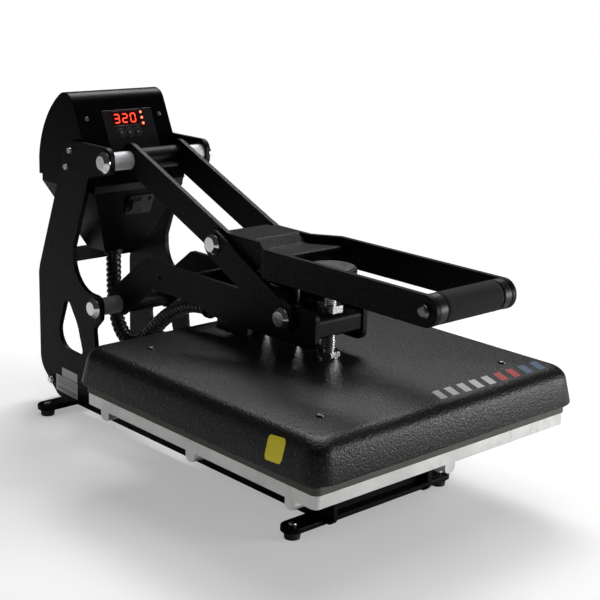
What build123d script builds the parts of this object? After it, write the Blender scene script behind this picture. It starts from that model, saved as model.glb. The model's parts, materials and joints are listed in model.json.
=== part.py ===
from build123d import *
import math
import os

# Clamshell heat press, closed, with its heat platen down on the work pad.
# Millimetres. X is to the right, Y to the back, Z up. The origin is on the
# table, at the middle of the press seen from above. Sizes named "reach" are
# measured along Y from the centre of the two platens.

os.makedirs("parts", exist_ok=True)

# Clearances
seat_gap = 0.2
moving_gap = 0.3
running_clearance = 0.05

# Work platen, cast aluminium, with its silicone pad
platen_size = 381.0
platen_edge = 14.4
platen_plate = 8.0
platen_rim = 9.0
platen_corner = 6.0
rib_width = 15.0
rib_depth = 10.8
rib_pitch = 155.0
rail_top = 80.0
pad_thickness = 9.0
pad_overhang = 1.5

# Heat platen and its cover
heat_plate_size = 380.0
heat_plate_thickness = 14.0
heat_plate_corner = 18.0
cover_mouth_gap = 2.0
cover_rim_rise = 1.0
cover_size = 403.0
cover_top_size = 376.0
cover_height = 43.4
cover_wall = 2.0
cover_corner = 27.0
cover_edge_radius = 11.0
cover_lip_radius = 5.0
cover_screw_reach = 139.0

# Frame plates
plate_thickness = 6.0
frame_inner_half = 70.4
foot_height = 9.0
foot_bar_thickness = 6.0
foot_bar_width = 26.0
foot_reach_x = 114.2
front_foot_reach = -77.3
foot_radius = 9.5
frame_front_reach = -100.2
crossbar_lip = 12.0

# Pivots, as reach and height
upper_pivot_reach = 319.0
upper_pivot_height = 339.0
lower_pivot_reach = 344.5
lower_pivot_height = 149.8
frame_back_reach = lower_pivot_reach + 130.5
rear_foot_reach = lower_pivot_reach + 54.3
toggle_reach = 145.5
toggle_height = 265.8
link_pivot_reach = 24.0
link_pivot_height = 204.5
shaft_diameter = 16.0
spacer_diameter = 22.5
pivot_tube_diameter = 27.0
cap_diameter = 27.0
cap_flat_diameter = 17.0
cap_height = 6.5

# Moving plates
inner_plate_outer = 39.4
link_width = 34.0
link_bolt_diameter = 12.0
link_cap_diameter = 25.0
link_cap_height = 6.0
strap_up = 21.0
strap_down = 13.5
bar_top = 281.0
bar_bottom = 248.5
bar_front_half = 60.0
joggle_back_reach = 70.0
joggle_front_reach = 40.0
arm_top = 220.0
arm_bottom = 184.0
arm_deep_bottom = 176.5
arm_front_reach = -24.0
arm_corner_reach = 285.0
arm_leg_angle = 143.0
arm_leg_rear = 22.0
arm_leg_front = 16.0
channel_top = 212.0
channel_thickness = 5.0
channel_front_reach = -22.0
channel_back_reach = 150.0
channel_flange_bottom = 191.0

# Grip
grip_reach = -197.0
grip_rod_diameter = 19.0
grip_collar_width = 11.0
grip_screw_diameter = 15.0

# Pressure screw
screw_reach = -4.0
screw_diameter = 16.0
knob_diameter = 58.0
knob_top = 262.0
knob_height = 24.0
knob_disc_diameter = 53.0
knob_disc_thickness = 1.2
screw_flange_diameter = 27.0
pressure_travel = 6.0

# Control box, as reach and height of its side outline
box_half_width = frame_inner_half
box_wall = 1.5
box_bottom = upper_pivot_height - 36.0
box_front_reach = 350.0
box_back_reach = 478.0
box_apex_reach = 406.0
box_apex_height = upper_pivot_height + 83.0
box_apex_radius = 20.0
box_back_flat = 22.0
box_back_bulge = 16.1
housing_top_front = 352.0
housing_top_back = 474.0
housing_top_half = 68.5
housing_band = 9.0
housing_bottom = upper_pivot_height - 130.5
housing_bottom_front = 389.0
housing_bottom_back = 430.0
housing_bottom_half = 29.4

# Faceplate on the sloped front of the box, measured up the slope
faceplate_width = 77.0
faceplate_low = 22.0
faceplate_high = 97.0
faceplate_thickness = 1.0
faceplate_middle = 6.0
display_width = 40.0
display_height = 18.6
display_middle = 1.0
display_up = 85.3
button_diameter = 10.0
button_pitch = 12.9
button_middle = 2.5
button_up = 66.5
button_travel = 1.0
button_proud = 1.0
lamp_x = 26.8
lamp_top = 92.0
lamp_pitch = 7.5
lamp_diameter = 3.2

# Inlet with its rocker switch, on the flat of the back of the box
inlet_width = 58.0
inlet_height = 20.4
inlet_proud = 2.0
inlet_up = 11.2
socket_x = -11.0
rocker_x = 18.0
rocker_width = 12.0
rocker_half = 8.4
rocker_tilt = 8.0

# Heater lead in its spiral wrap
lead_diameter = 20.0
lead_groove_diameter = 17.0
lead_bore = 14.0
lead_rib_pitch = 7.3

# Places that follow from the sizes above
box_slope = math.atan2(box_apex_reach - box_front_reach, box_apex_height - box_bottom)
front_reach = grip_reach - (bar_top - bar_bottom) / 2
back_reach = box_back_reach + inlet_proud
platen_y = -(front_reach + back_reach) / 2
frame_outer_half = frame_inner_half + plate_thickness
inner_plate_inner = inner_plate_outer - plate_thickness
link_inner = inner_plate_outer + moving_gap
link_outer = link_inner + plate_thickness
platen_bottom = rail_top + rib_depth
platen_top = platen_bottom + platen_edge
pad_top = platen_top + pad_thickness
heat_face = pad_top + moving_gap
cover_bottom = heat_face + cover_rim_rise
cover_top = cover_bottom + cover_height
foot_bar_top = foot_height + foot_bar_thickness
shaft_hole = shaft_diameter + 2 * running_clearance
upper_pivot = (platen_y + upper_pivot_reach, upper_pivot_height)
lower_pivot = (platen_y + lower_pivot_reach, lower_pivot_height)
toggle = (platen_y + toggle_reach, toggle_height)
link_pivot = (platen_y + link_pivot_reach, link_pivot_height)
bar_end = (bar_top - bar_bottom) / 2
grip_place = (platen_y + grip_reach, bar_bottom + bar_end)
screw_y = platen_y + screw_reach
sides = (("left", -1), ("right", 1))


def finish(part, name):
    part.label = name
    export_step(part, f"parts/{name}.step")


def side_plane(sign, nearest, thickness):
    """Plane across X whose +X side holds a plate that starts at nearest."""
    start = nearest if sign > 0 else -(nearest + thickness)
    return Plane.YZ.offset(start)


def outward(sign, start, place):
    """Plane across X at start, facing away from the middle of the press."""
    return Plane(origin=(sign * start, *place), x_dir=(0, 1, 0), z_dir=(sign, 0, 0))


def along(base, angle, distance, offset):
    """Reach and height of a point along a leg, offset to its lower side."""
    turn = math.radians(angle)
    return (
        base[0] + distance * math.cos(turn) + offset * math.sin(turn),
        base[1] + distance * math.sin(turn) - offset * math.cos(turn),
    )


def reach_at(base, angle, offset, height):
    """Reach where the line that along() follows comes to a height."""
    turn = math.radians(angle)
    distance = (height - base[1] + offset * math.cos(turn)) / math.sin(turn)
    return along(base, angle, distance, offset)[0]


def outline(corners):
    """Points and radii of a closed outline, from (reach, height, radius)."""
    points = [(platen_y + reach, height) for reach, height, _ in corners]
    return points, [radius for _, _, radius in corners]


# Frame side plates: a long low rail and a tall back with the two pivots
plate_corners = [
    (frame_front_reach, foot_height, 9),
    (frame_front_reach, rail_top, 4),
    (lower_pivot_reach - 3, rail_top, 10),
    (lower_pivot_reach + 2, lower_pivot_height - 28, 9),
    (lower_pivot_reach - 14, lower_pivot_height - 13, 8),
    (lower_pivot_reach - 14, lower_pivot_height + 16.5, 12),
    (lower_pivot_reach + 46.5, lower_pivot_height + 16.5, 42),
    (lower_pivot_reach + 47.5, lower_pivot_height + 69, 9),
    (upper_pivot_reach + 35, upper_pivot_height - 23, 7),
    (upper_pivot_reach + 4, upper_pivot_height - 17, 10),
    (upper_pivot_reach - 14, upper_pivot_height - 13, 9),
    (upper_pivot_reach - 14, upper_pivot_height + 18, 13),
    (upper_pivot_reach + 83, upper_pivot_height + 18, 16),
    (frame_back_reach - 3, lower_pivot_height + 33, 20),
    (frame_back_reach, lower_pivot_height + 22, 20),
    (frame_back_reach, foot_height + 35, 30),
    (frame_back_reach - 43, foot_height, 14),
]
window_corners = [
    (lower_pivot_reach + 64.5, lower_pivot_height + 5, 8),
    (lower_pivot_reach + 39.5, lower_pivot_height - 31, 40),
    (lower_pivot_reach + 25.5, rail_top - 3, 8),
    (frame_back_reach - 37, rail_top, 24),
]
plate_points, plate_radii = outline(plate_corners)
window_points, window_radii = outline(window_corners)
box_screw_places = [(395.0, upper_pivot_height + 5), (404.0, upper_pivot_height - 17)]
base_bolt_reach = frame_back_reach - 27
base_bolt_height = 28.0
small_screw = 5.0

for side, sign in sides:
    with BuildPart() as side_plate:
        with BuildSketch(side_plane(sign, frame_inner_half, plate_thickness)):
            with BuildLine():
                FilletPolyline(*plate_points, radius=plate_radii, close=True)
            make_face()
            with BuildLine(mode=Mode.PRIVATE) as window_line:
                FilletPolyline(*window_points, radius=window_radii, close=True)
            make_face(window_line.edges(), mode=Mode.SUBTRACT)
            with Locations(upper_pivot, lower_pivot):
                Circle(shaft_hole / 2, mode=Mode.SUBTRACT)
            with Locations(*[(platen_y + y, z) for y, z in box_screw_places]):
                Circle(small_screw / 2, mode=Mode.SUBTRACT)
            with Locations((platen_y + base_bolt_reach, base_bolt_height)):
                Circle(small_screw / 2, mode=Mode.SUBTRACT)
            for reach in (front_foot_reach, rear_foot_reach):
                with Locations((platen_y + reach, foot_height)):
                    Rectangle(
                        foot_bar_width + 2 * seat_gap,
                        2 * foot_bar_thickness,
                        mode=Mode.SUBTRACT,
                    )
        extrude(amount=plate_thickness)
    finish(side_plate.part, f"side_plate_{side}")

# Front cross bar: an angle with its lip forward at the bottom
crossbar_height = 56.0
crossbar_bottom = foot_height + 7.7
crossbar_thickness = 4.0
crossbar_face_reach = frame_front_reach + crossbar_lip
with BuildPart() as front_crossbar:
    with BuildSketch(Plane.YZ.offset(-frame_inner_half)):
        face_y = platen_y + crossbar_face_reach
        with BuildLine():
            Polyline(
                (face_y, crossbar_bottom + crossbar_thickness),
                (face_y - crossbar_lip, crossbar_bottom + crossbar_thickness),
                (face_y - crossbar_lip, crossbar_bottom),
                (face_y + crossbar_thickness, crossbar_bottom),
                (face_y + crossbar_thickness, crossbar_bottom + crossbar_height),
                (face_y, crossbar_bottom + crossbar_height),
                close=True,
            )
        make_face()
    extrude(amount=2 * frame_inner_half)
    outer_bend = front_crossbar.edges().filter_by(Axis.X).group_by(Axis.Y)[-1].sort_by(Axis.Z)[0]
    fillet(outer_bend, crossbar_thickness)
finish(front_crossbar.part, "front_crossbar")

# Two flat mounting bars under the platen, between the rails
mount_bar_width = 32.0
mount_bar_thickness = 5.0
mount_bar_reaches = (0.0, rib_pitch)
platen_bolt_x = 50.0
platen_bolt = 8.0
platen_bolt_depth = 12.0
platen_bolt_hole_depth = 14.0
with BuildPart() as platen_mount_bars:
    with BuildSketch(Plane.XY.offset(rail_top - mount_bar_thickness)):
        for reach in mount_bar_reaches:
            with Locations((0, platen_y + reach)):
                Rectangle(2 * frame_inner_half, mount_bar_width)
            with Locations((-platen_bolt_x, platen_y + reach), (platen_bolt_x, platen_y + reach)):
                Circle(platen_bolt / 2, mode=Mode.SUBTRACT)
    extrude(amount=mount_bar_thickness)
finish(platen_mount_bars.part, "platen_mount_bars")

# Rear tie plate, high up between the side plates
tie_height = 19.0
tie_bottom = 179.0
with BuildPart() as rear_tie_plate:
    with Locations((0, platen_y + frame_back_reach - plate_thickness / 2 - 1, tie_bottom + tie_height / 2)):
        Box(2 * frame_inner_half, plate_thickness, tie_height)
finish(rear_tie_plate.part, "rear_tie_plate")

# Rear base bar, held by a domed bolt through each side plate
base_bar_size = 22.0
base_bar_wall = 3.0
with BuildPart() as rear_base_bar:
    with BuildSketch(Plane.YZ.offset(-frame_inner_half)):
        with Locations((platen_y + base_bolt_reach, base_bolt_height)):
            RectangleRounded(base_bar_size, base_bar_size, 4)
            RectangleRounded(
                base_bar_size - 2 * base_bar_wall,
                base_bar_size - 2 * base_bar_wall,
                1.5,
                mode=Mode.SUBTRACT,
            )
            Circle(small_screw / 2 + base_bar_wall)
            Circle(small_screw / 2, mode=Mode.SUBTRACT)
            for turn in (0, 90):
                with Locations(Location((0, 0), turn)):
                    Rectangle(base_bar_size - base_bar_wall, base_bar_wall, mode=Mode.ADD)
            Circle(small_screw / 2, mode=Mode.SUBTRACT)
    extrude(amount=2 * frame_inner_half)
finish(rear_base_bar.part, "rear_base_bar")

dome_diameter = 12.0
dome_height = 5.0
base_bolt_length = 26.0
with BuildPart() as base_bolts:
    for side, sign in sides:
        head_plane = outward(sign, frame_outer_half, (platen_y + base_bolt_reach, base_bolt_height))
        with BuildSketch(head_plane):
            Circle(dome_diameter / 2)
        extrude(amount=dome_height)
        fillet(base_bolts.edges().group_by(Axis.X)[0 if sign < 0 else -1], dome_height * 0.8)
        with BuildSketch(head_plane):
            Circle(small_screw / 2)
        extrude(amount=-base_bolt_length)
finish(base_bolts.part, "base_bolts")

# Foot bars, rubber feet and the screws that hold them
foot_places = [
    (sign * foot_reach_x, platen_y + reach)
    for reach in (front_foot_reach, rear_foot_reach)
    for side, sign in sides
]
with BuildPart() as foot_bars:
    with BuildSketch(Plane.XY.offset(foot_height)):
        for reach in (front_foot_reach, rear_foot_reach):
            with Locations((0, platen_y + reach)):
                SlotCenterToCenter(2 * foot_reach_x, foot_bar_width)
        with Locations(*foot_places):
            Circle(small_screw / 2, mode=Mode.SUBTRACT)
    extrude(amount=foot_bar_thickness)
    for face in foot_bars.faces().group_by(Axis.Z)[-1]:
        fillet(face.outer_wire().edges(), 1.5)
finish(foot_bars.part, "foot_bars")

foot_recess_radius = 5.0
foot_recess_depth = 5.0
up = (Align.CENTER, Align.CENTER, Align.MIN)
with BuildPart() as rubber_feet:
    with Locations(*foot_places):
        Cone(foot_radius - 1, foot_radius, foot_height, align=up)
        Cylinder(foot_recess_radius, foot_recess_depth, align=up, mode=Mode.SUBTRACT)
        Cylinder(small_screw / 2, foot_height, align=up, mode=Mode.SUBTRACT)
finish(rubber_feet.part, "rubber_feet")

# One solid each: button head on the bar, shank, and the nut in the recess
foot_nut_thickness = 3.0
button_head_radius = 4.5
button_head_height = 2.6
with BuildPart() as foot_screws:
    for x, y in foot_places:
        with Locations((x, y, foot_bar_top)):
            Cylinder(button_head_radius, button_head_height, align=up)
        with Locations((x, y, foot_recess_depth)):
            Cylinder(small_screw / 2, foot_bar_top - foot_recess_depth, align=up)
        with Locations((x, y, foot_recess_depth - foot_nut_thickness)):
            Cylinder(foot_recess_radius - 0.7, foot_nut_thickness, align=up)
    fillet(foot_screws.edges().filter_by(GeomType.CIRCLE).group_by(Axis.Z)[-1], 1.8)
finish(foot_screws.part, "foot_screws")

# Work platen: a ribbed aluminium casting that rests on the two rails
rib_height = platen_top - 2 - rail_top
rib_corner = 6.0
with BuildPart() as work_platen:
    with BuildSketch(Plane.XY.offset(platen_bottom)):
        with Locations((0, platen_y)):
            RectangleRounded(platen_size, platen_size, platen_corner)
            inside = platen_size - 2 * platen_rim
            RectangleRounded(inside, inside, platen_corner, mode=Mode.SUBTRACT)
    extrude(amount=platen_edge)
    with BuildSketch(Plane.XY.offset(platen_top - platen_plate)):
        with Locations((0, platen_y)):
            RectangleRounded(platen_size, platen_size, platen_corner)
    extrude(amount=platen_plate)
    with BuildSketch(Plane.YZ.offset(-platen_size / 2)):
        for step in (-1, 0, 1):
            with Locations((platen_y + step * rib_pitch, rail_top + rib_height / 2)):
                RectangleRounded(rib_width, rib_height, rib_corner)
    extrude(amount=platen_size)
    with BuildSketch(Plane.XZ.offset(-(platen_y + platen_size / 2))):
        with Locations((0, rail_top + rib_height / 2)):
            RectangleRounded(rib_width, rib_height, rib_corner)
    extrude(amount=platen_size)
    for reach in mount_bar_reaches:
        with Locations(
            (-platen_bolt_x, platen_y + reach, rail_top),
            (platen_bolt_x, platen_y + reach, rail_top),
        ):
            Cylinder(platen_bolt / 2, platen_bolt_hole_depth, align=up, mode=Mode.SUBTRACT)
finish(work_platen.part, "work_platen")

platen_bolt_head = 5.0
with BuildPart() as platen_bolts:
    for reach in mount_bar_reaches:
        for x in (-platen_bolt_x, platen_bolt_x):
            head_bottom = rail_top - mount_bar_thickness - platen_bolt_head
            with BuildSketch(Plane.XY.offset(head_bottom)):
                with Locations((x, platen_y + reach)):
                    RegularPolygon(platen_bolt * 0.8, 6, major_radius=False)
            extrude(amount=platen_bolt_head)
            with Locations((x, platen_y + reach, head_bottom)):
                shank = platen_bolt_head + mount_bar_thickness + platen_bolt_depth
                Cylinder(platen_bolt / 2, shank, align=up)
finish(platen_bolts.part, "platen_bolts")

pad_size = platen_size + 2 * pad_overhang
with BuildPart() as work_pad:
    with BuildSketch(Plane.XY.offset(platen_top)):
        with Locations((0, platen_y)):
            RectangleRounded(pad_size, pad_size, platen_corner + 2)
    extrude(amount=pad_thickness)
    fillet(work_pad.faces().sort_by(Axis.Z)[-1].outer_wire().edges(), 2.0)
finish(work_pad.part, "work_pad")

# Pivots: fixed shafts, tubes and spacers on them, conical caps outside
with BuildPart() as pivot_shafts:
    with BuildSketch(Plane.YZ.offset(-frame_outer_half)):
        with Locations(upper_pivot, lower_pivot):
            Circle(shaft_diameter / 2)
    extrude(amount=2 * frame_outer_half)
finish(pivot_shafts.part, "pivot_shafts")

for name, place in (("upper", upper_pivot), ("lower", lower_pivot)):
    with BuildPart() as spacers:
        for side, sign in sides:
            with BuildSketch(side_plane(sign, link_inner, frame_inner_half - link_inner)):
                with Locations(place):
                    Circle(spacer_diameter / 2)
                    Circle(shaft_diameter / 2, mode=Mode.SUBTRACT)
            extrude(amount=frame_inner_half - link_inner)
    finish(spacers.part, f"{name}_spacers")

cap_edge = 1.5
with BuildPart() as pivot_caps:
    for place in (upper_pivot, lower_pivot):
        for side, sign in sides:
            with BuildSketch(outward(sign, frame_outer_half, place)):
                Circle(cap_diameter / 2)
            extrude(amount=cap_edge)
            with BuildSketch(outward(sign, frame_outer_half + cap_edge, place)):
                Circle(cap_diameter / 2)
            with BuildSketch(outward(sign, frame_outer_half + cap_height, place)):
                Circle(cap_flat_diameter / 2)
            loft()
finish(pivot_caps.part, "pivot_caps")

# Platen arm: two boomerang plates joined by a tube and a bent channel
arm_corners = [
    (*along((lower_pivot_reach, lower_pivot_height), arm_leg_angle, -18, -arm_leg_front), 18),
    (*along((lower_pivot_reach, lower_pivot_height), arm_leg_angle, -18, arm_leg_rear), 18),
    (
        reach_at((lower_pivot_reach, lower_pivot_height), arm_leg_angle, arm_leg_rear, arm_top),
        arm_top,
        9,
    ),
    (arm_front_reach, arm_top, 9),
    (arm_front_reach, arm_deep_bottom, 10),
    (161, arm_deep_bottom, 8),
    (172, arm_bottom, 8),
    (
        reach_at((lower_pivot_reach, lower_pivot_height), arm_leg_angle, -arm_leg_front, arm_bottom),
        arm_bottom,
        8,
    ),
]
arm_points, arm_radii = outline(arm_corners)
arm_small_hole = (platen_y + 256.0, 202.0)
with BuildPart() as arm_plates:
    for side, sign in sides:
        with BuildSketch(side_plane(sign, inner_plate_inner, plate_thickness)):
            with BuildLine():
                FilletPolyline(*arm_points, radius=arm_radii, close=True)
            make_face()
            with Locations(lower_pivot):
                Circle(shaft_hole / 2, mode=Mode.SUBTRACT)
            with Locations(link_pivot):
                Circle(link_bolt_diameter / 2 + running_clearance, mode=Mode.SUBTRACT)
            with Locations(arm_small_hole):
                Circle(small_screw / 2, mode=Mode.SUBTRACT)
        extrude(amount=plate_thickness)
finish(arm_plates.part, "arm_plates")

for name, place in (("arm", lower_pivot), ("handle", upper_pivot)):
    with BuildPart() as pivot_tube:
        with BuildSketch(Plane.YZ.offset(-inner_plate_inner)):
            with Locations(place):
                Circle(pivot_tube_diameter / 2)
                Circle(shaft_hole / 2, mode=Mode.SUBTRACT)
        extrude(amount=2 * inner_plate_inner)
    finish(pivot_tube.part, f"{name}_pivot_tube")

# The channel's holes clear the screw and the studs; its notches clear the nuts
stud_diameter = 6.0
stud_reaches = (49.5, 104.0)
nut_half = 7.5
nut_thickness = 5.0
nut_notch = 9.4
with BuildPart() as arm_channel:
    with BuildSketch(Plane.YZ.offset(-inner_plate_inner)):
        with BuildLine():
            middle = channel_thickness / 2
            FilletPolyline(
                (platen_y + channel_front_reach + middle, channel_flange_bottom),
                (platen_y + channel_front_reach + middle, channel_top - middle),
                (platen_y + channel_back_reach - middle, channel_top - middle),
                (platen_y + channel_back_reach - middle, channel_flange_bottom),
                radius=middle + 2,
            )
            offset(amount=middle, side=Side.BOTH)
        make_face()
    extrude(amount=2 * inner_plate_inner)
    with BuildSketch(Plane.XY.offset(channel_top)):
        with Locations((0, screw_y)):
            Circle(screw_diameter / 2 + moving_gap)
        with Locations(*[(0, platen_y + reach) for reach in stud_reaches]):
            Circle(stud_diameter / 2 + moving_gap)
    extrude(amount=-2 * channel_thickness, mode=Mode.SUBTRACT)
    for side, sign in sides:
        with BuildSketch(outward(sign, inner_plate_inner, link_pivot)):
            Circle(nut_notch)
        extrude(amount=-(moving_gap + nut_thickness + 1), mode=Mode.SUBTRACT)
finish(arm_channel.part, "arm_channel")

pressure_nut_height = 8.0
with BuildPart() as pressure_nut:
    with BuildSketch(Plane.XY.offset(channel_top)):
        with Locations((0, screw_y)):
            RegularPolygon(13, 6, major_radius=False)
            Circle(screw_diameter / 2 + running_clearance, mode=Mode.SUBTRACT)
    extrude(amount=pressure_nut_height)
finish(pressure_nut.part, "pressure_nut")

# Cross plate behind the heat platen, which holds the end of the heater lead
lead_end_reach = 208.0
lead_end_height = 168.0
bracket_thickness = 5.0
bracket_shoulder = 186.0
tongue_radius = lead_diameter / 2 + 2.5
with BuildPart() as lead_bracket:
    with BuildSketch(Plane.XZ.offset(-(platen_y + lead_end_reach))):
        with Locations((0, (bracket_shoulder + arm_top - 4) / 2)):
            Rectangle(2 * inner_plate_inner, arm_top - 4 - bracket_shoulder)
        with Locations((0, (bracket_shoulder + lead_end_height) / 2)):
            Rectangle(2 * tongue_radius, bracket_shoulder - lead_end_height)
        with Locations((0, lead_end_height)):
            Circle(tongue_radius)
            Circle(lead_bore / 2, mode=Mode.SUBTRACT)
    extrude(amount=bracket_thickness)
finish(lead_bracket.part, "lead_bracket")

# Heat platen: cast aluminium with posts for the cover and a boss for the screw
element_diameter = 8.0
element_pitch = 80.0
element_half = 140.0
post_radius = 8.0
boss_radius = 12.0
cover_screw_length = 12.0
cover_screw_hole_depth = 14.0
socket_floor = heat_face + 20.0
heat_top = heat_face + heat_plate_thickness
cover_places = [
    (x * cover_screw_reach, platen_y + y * cover_screw_reach) for x in (-1, 1) for y in (-1, 1)
]
element_points = [
    (-1.5 * element_pitch, platen_y + element_half),
    (-1.5 * element_pitch, platen_y - element_half),
    (-0.5 * element_pitch, platen_y - element_half),
    (-0.5 * element_pitch, platen_y + element_half),
    (0.5 * element_pitch, platen_y + element_half),
    (0.5 * element_pitch, platen_y - element_half),
    (1.5 * element_pitch, platen_y - element_half),
    (1.5 * element_pitch, platen_y + element_half),
]
element_bend = element_pitch / 2 - 2
element_start = Plane(origin=(*element_points[0], heat_top), x_dir=(1, 0, 0), z_dir=(0, -1, 0))
with BuildPart() as heating_element:
    with BuildLine(Plane.XY.offset(heat_top)):
        FilletPolyline(*element_points, radius=element_bend)
    with BuildSketch(element_start):
        Circle(element_diameter / 2)
    sweep()
finish(heating_element.part, "heating_element")

with BuildPart() as heat_platen:
    with BuildSketch(Plane.XY.offset(heat_face)):
        with Locations((0, platen_y)):
            RectangleRounded(heat_plate_size, heat_plate_size, heat_plate_corner)
    extrude(amount=heat_plate_thickness)
    with BuildLine(Plane.XY.offset(heat_top)):
        FilletPolyline(*element_points, radius=element_bend)
    with BuildSketch(element_start):
        Circle(element_diameter / 2 + running_clearance)
    sweep(mode=Mode.SUBTRACT)
    with BuildSketch(Plane.XY.offset(heat_top)):
        with Locations(*cover_places):
            Circle(post_radius)
    extrude(amount=cover_top - cover_wall - heat_top)
    with BuildSketch(Plane.XY.offset(heat_top)):
        with Locations((0, screw_y)):
            Circle(boss_radius)
    extrude(amount=cover_top - heat_top)
    with Locations((0, screw_y, socket_floor)):
        Cylinder(
            screw_diameter / 2 + running_clearance,
            cover_top - socket_floor,
            align=up,
            mode=Mode.SUBTRACT,
        )
    with Locations(*[(x, y, cover_top - cover_screw_hole_depth) for x, y in cover_places]):
        Cylinder(small_screw / 2, cover_screw_hole_depth, align=up, mode=Mode.SUBTRACT)
finish(heat_platen.part, "heat_platen")

mat_gap = 0.5
mat_thickness = 14.0
mat_bottom = heat_top + element_diameter / 2 + mat_gap
with BuildPart() as insulating_mat:
    with BuildSketch(Plane.XY.offset(mat_bottom)):
        with Locations((0, platen_y)):
            RectangleRounded(heat_plate_size - 20, heat_plate_size - 20, 20)
        with Locations(*cover_places):
            Circle(post_radius, mode=Mode.SUBTRACT)
        with Locations((0, screw_y)):
            Circle(boss_radius, mode=Mode.SUBTRACT)
    extrude(amount=mat_thickness)
finish(insulating_mat.part, "insulating_mat")

cover_slope = (cover_size - cover_top_size) / cover_height
cover_mouth = heat_plate_size + 2 * cover_mouth_gap
with BuildPart() as platen_cover:
    with BuildSketch(Plane.XY.offset(cover_bottom)):
        with Locations((0, platen_y)):
            RectangleRounded(cover_size, cover_size, cover_corner)
    with BuildSketch(Plane.XY.offset(cover_top)):
        with Locations((0, platen_y)):
            RectangleRounded(cover_top_size, cover_top_size, cover_corner)
    loft()
    fillet(platen_cover.faces().sort_by(Axis.Z)[-1].outer_wire().edges(), cover_edge_radius)
    fillet(platen_cover.faces().sort_by(Axis.Z)[0].outer_wire().edges(), cover_lip_radius)
    inner_low = cover_size - 2 * cover_wall - cover_slope * cover_wall
    inner_high = cover_top_size - 2 * cover_wall + cover_slope * cover_wall
    with BuildPart(mode=Mode.PRIVATE) as cover_inside:
        with BuildSketch(Plane.XY.offset(cover_bottom + cover_wall)):
            with Locations((0, platen_y)):
                RectangleRounded(inner_low - 1, inner_low - 1, cover_corner - cover_wall)
        with BuildSketch(Plane.XY.offset(cover_top - cover_wall)):
            with Locations((0, platen_y)):
                RectangleRounded(inner_high - 1, inner_high - 1, cover_corner - cover_wall)
        loft()
        inner_edges = cover_inside.faces().sort_by(Axis.Z)[-1].outer_wire().edges()
        fillet(inner_edges, cover_edge_radius - cover_wall)
    add(cover_inside.part, mode=Mode.SUBTRACT)
    with BuildSketch(Plane.XY.offset(cover_bottom)):
        with Locations((0, platen_y)):
            RectangleRounded(cover_mouth, cover_mouth, heat_plate_corner + cover_mouth_gap)
    extrude(amount=cover_wall, mode=Mode.SUBTRACT)
    with BuildSketch(Plane.XY.offset(cover_top)):
        with Locations(*cover_places):
            Circle(small_screw / 2)
        with Locations((0, screw_y)):
            Circle(boss_radius)
    extrude(amount=-cover_wall, mode=Mode.SUBTRACT)
finish(platen_cover.part, "platen_cover")

with BuildPart() as cover_screws:
    with Locations(*[(x, y, cover_top) for x, y in cover_places]):
        Cylinder(button_head_radius, button_head_height, align=up)
    fillet(cover_screws.edges().filter_by(GeomType.CIRCLE).group_by(Axis.Z)[-1], 1.8)
    with Locations(*[(x, y, cover_top - cover_screw_length) for x, y in cover_places]):
        Cylinder(small_screw / 2, cover_screw_length, align=up)
finish(cover_screws.part, "cover_screws")

# Low box over the heater terminals, and the studs that keep the platen straight
terminal_front = 112.0
terminal_back = 168.0
terminal_width = 44.0
terminal_height = 11.0
terminal_wall = 1.5
terminal_nut_reaches = (120.0, 134.0, 158.0)
terminal_nut_height = 2.5
wires_diameter = 6.0
wires_drop = 2.8
wires_height = lead_end_height - wires_drop
with BuildPart() as terminal_box:
    middle_y = platen_y + (terminal_front + terminal_back) / 2
    length = terminal_back - terminal_front
    with BuildSketch(Plane.XY.offset(cover_top)):
        with Locations((0, middle_y)):
            RectangleRounded(terminal_width, length, 4)
    extrude(amount=terminal_height)
    fillet(terminal_box.faces().sort_by(Axis.Z)[-1].outer_wire().edges(), 2.0)
    with BuildSketch(Plane.XY.offset(cover_top)):
        with Locations((0, middle_y)):
            RectangleRounded(terminal_width - 2 * terminal_wall, length - 2 * terminal_wall, 2.5)
    extrude(amount=terminal_height - terminal_wall, mode=Mode.SUBTRACT)
    with BuildSketch(Plane.XZ.offset(-(platen_y + terminal_back))):
        with Locations((0, wires_height)):
            Circle(wires_diameter / 2)
    extrude(amount=2 * terminal_wall, mode=Mode.SUBTRACT)
    for reach in terminal_nut_reaches:
        with BuildSketch(Plane.XY.offset(cover_top + terminal_height)):
            with Locations((0, platen_y + reach)):
                RegularPolygon(3.5, 6, major_radius=False)
        extrude(amount=terminal_nut_height)
finish(terminal_box.part, "terminal_box")


stud_top = 226.0
stud_nut_height = 5.0
stud_nut_size = 10.0
with BuildPart() as guide_studs:
    for reach in stud_reaches:
        with BuildSketch(Plane.XY.offset(cover_top)):
            with Locations((0, platen_y + reach)):
                RegularPolygon(stud_nut_size / 2, 6, major_radius=False)
        extrude(amount=stud_nut_height)
        with Locations((0, platen_y + reach, cover_top)):
            Cylinder(stud_diameter / 2, stud_top - cover_top, align=up)
finish(guide_studs.part, "guide_studs")

lead_overlap = 14.0
with BuildPart() as heater_wires:
    with BuildSketch(Plane.XZ.offset(-(platen_y + terminal_back - terminal_wall))):
        with Locations((0, wires_height)):
            Circle(wires_diameter / 2)
    extrude(amount=-(lead_end_reach - terminal_back + terminal_wall + lead_overlap))
finish(heater_wires.part, "heater_wires")

# Pressure screw, held in the platen boss by a keeper made of two halves
neck_diameter = 12.0
keeper_thickness = 2.0
keeper_slit = 0.4
lock_nut_height = 5.5
lock_nut_size = 24.0
screw_in_knob = 18.0
knob_bottom = knob_top - knob_height
with BuildPart() as screw_keeper:
    with BuildSketch(Plane.XY.offset(cover_top)):
        with Locations((0, screw_y)):
            Circle(screw_flange_diameter / 2)
            Circle(neck_diameter / 2 + running_clearance, mode=Mode.SUBTRACT)
            Rectangle(keeper_slit, screw_flange_diameter, mode=Mode.SUBTRACT)
    extrude(amount=keeper_thickness)
finish(screw_keeper.part, "screw_keeper")

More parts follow.
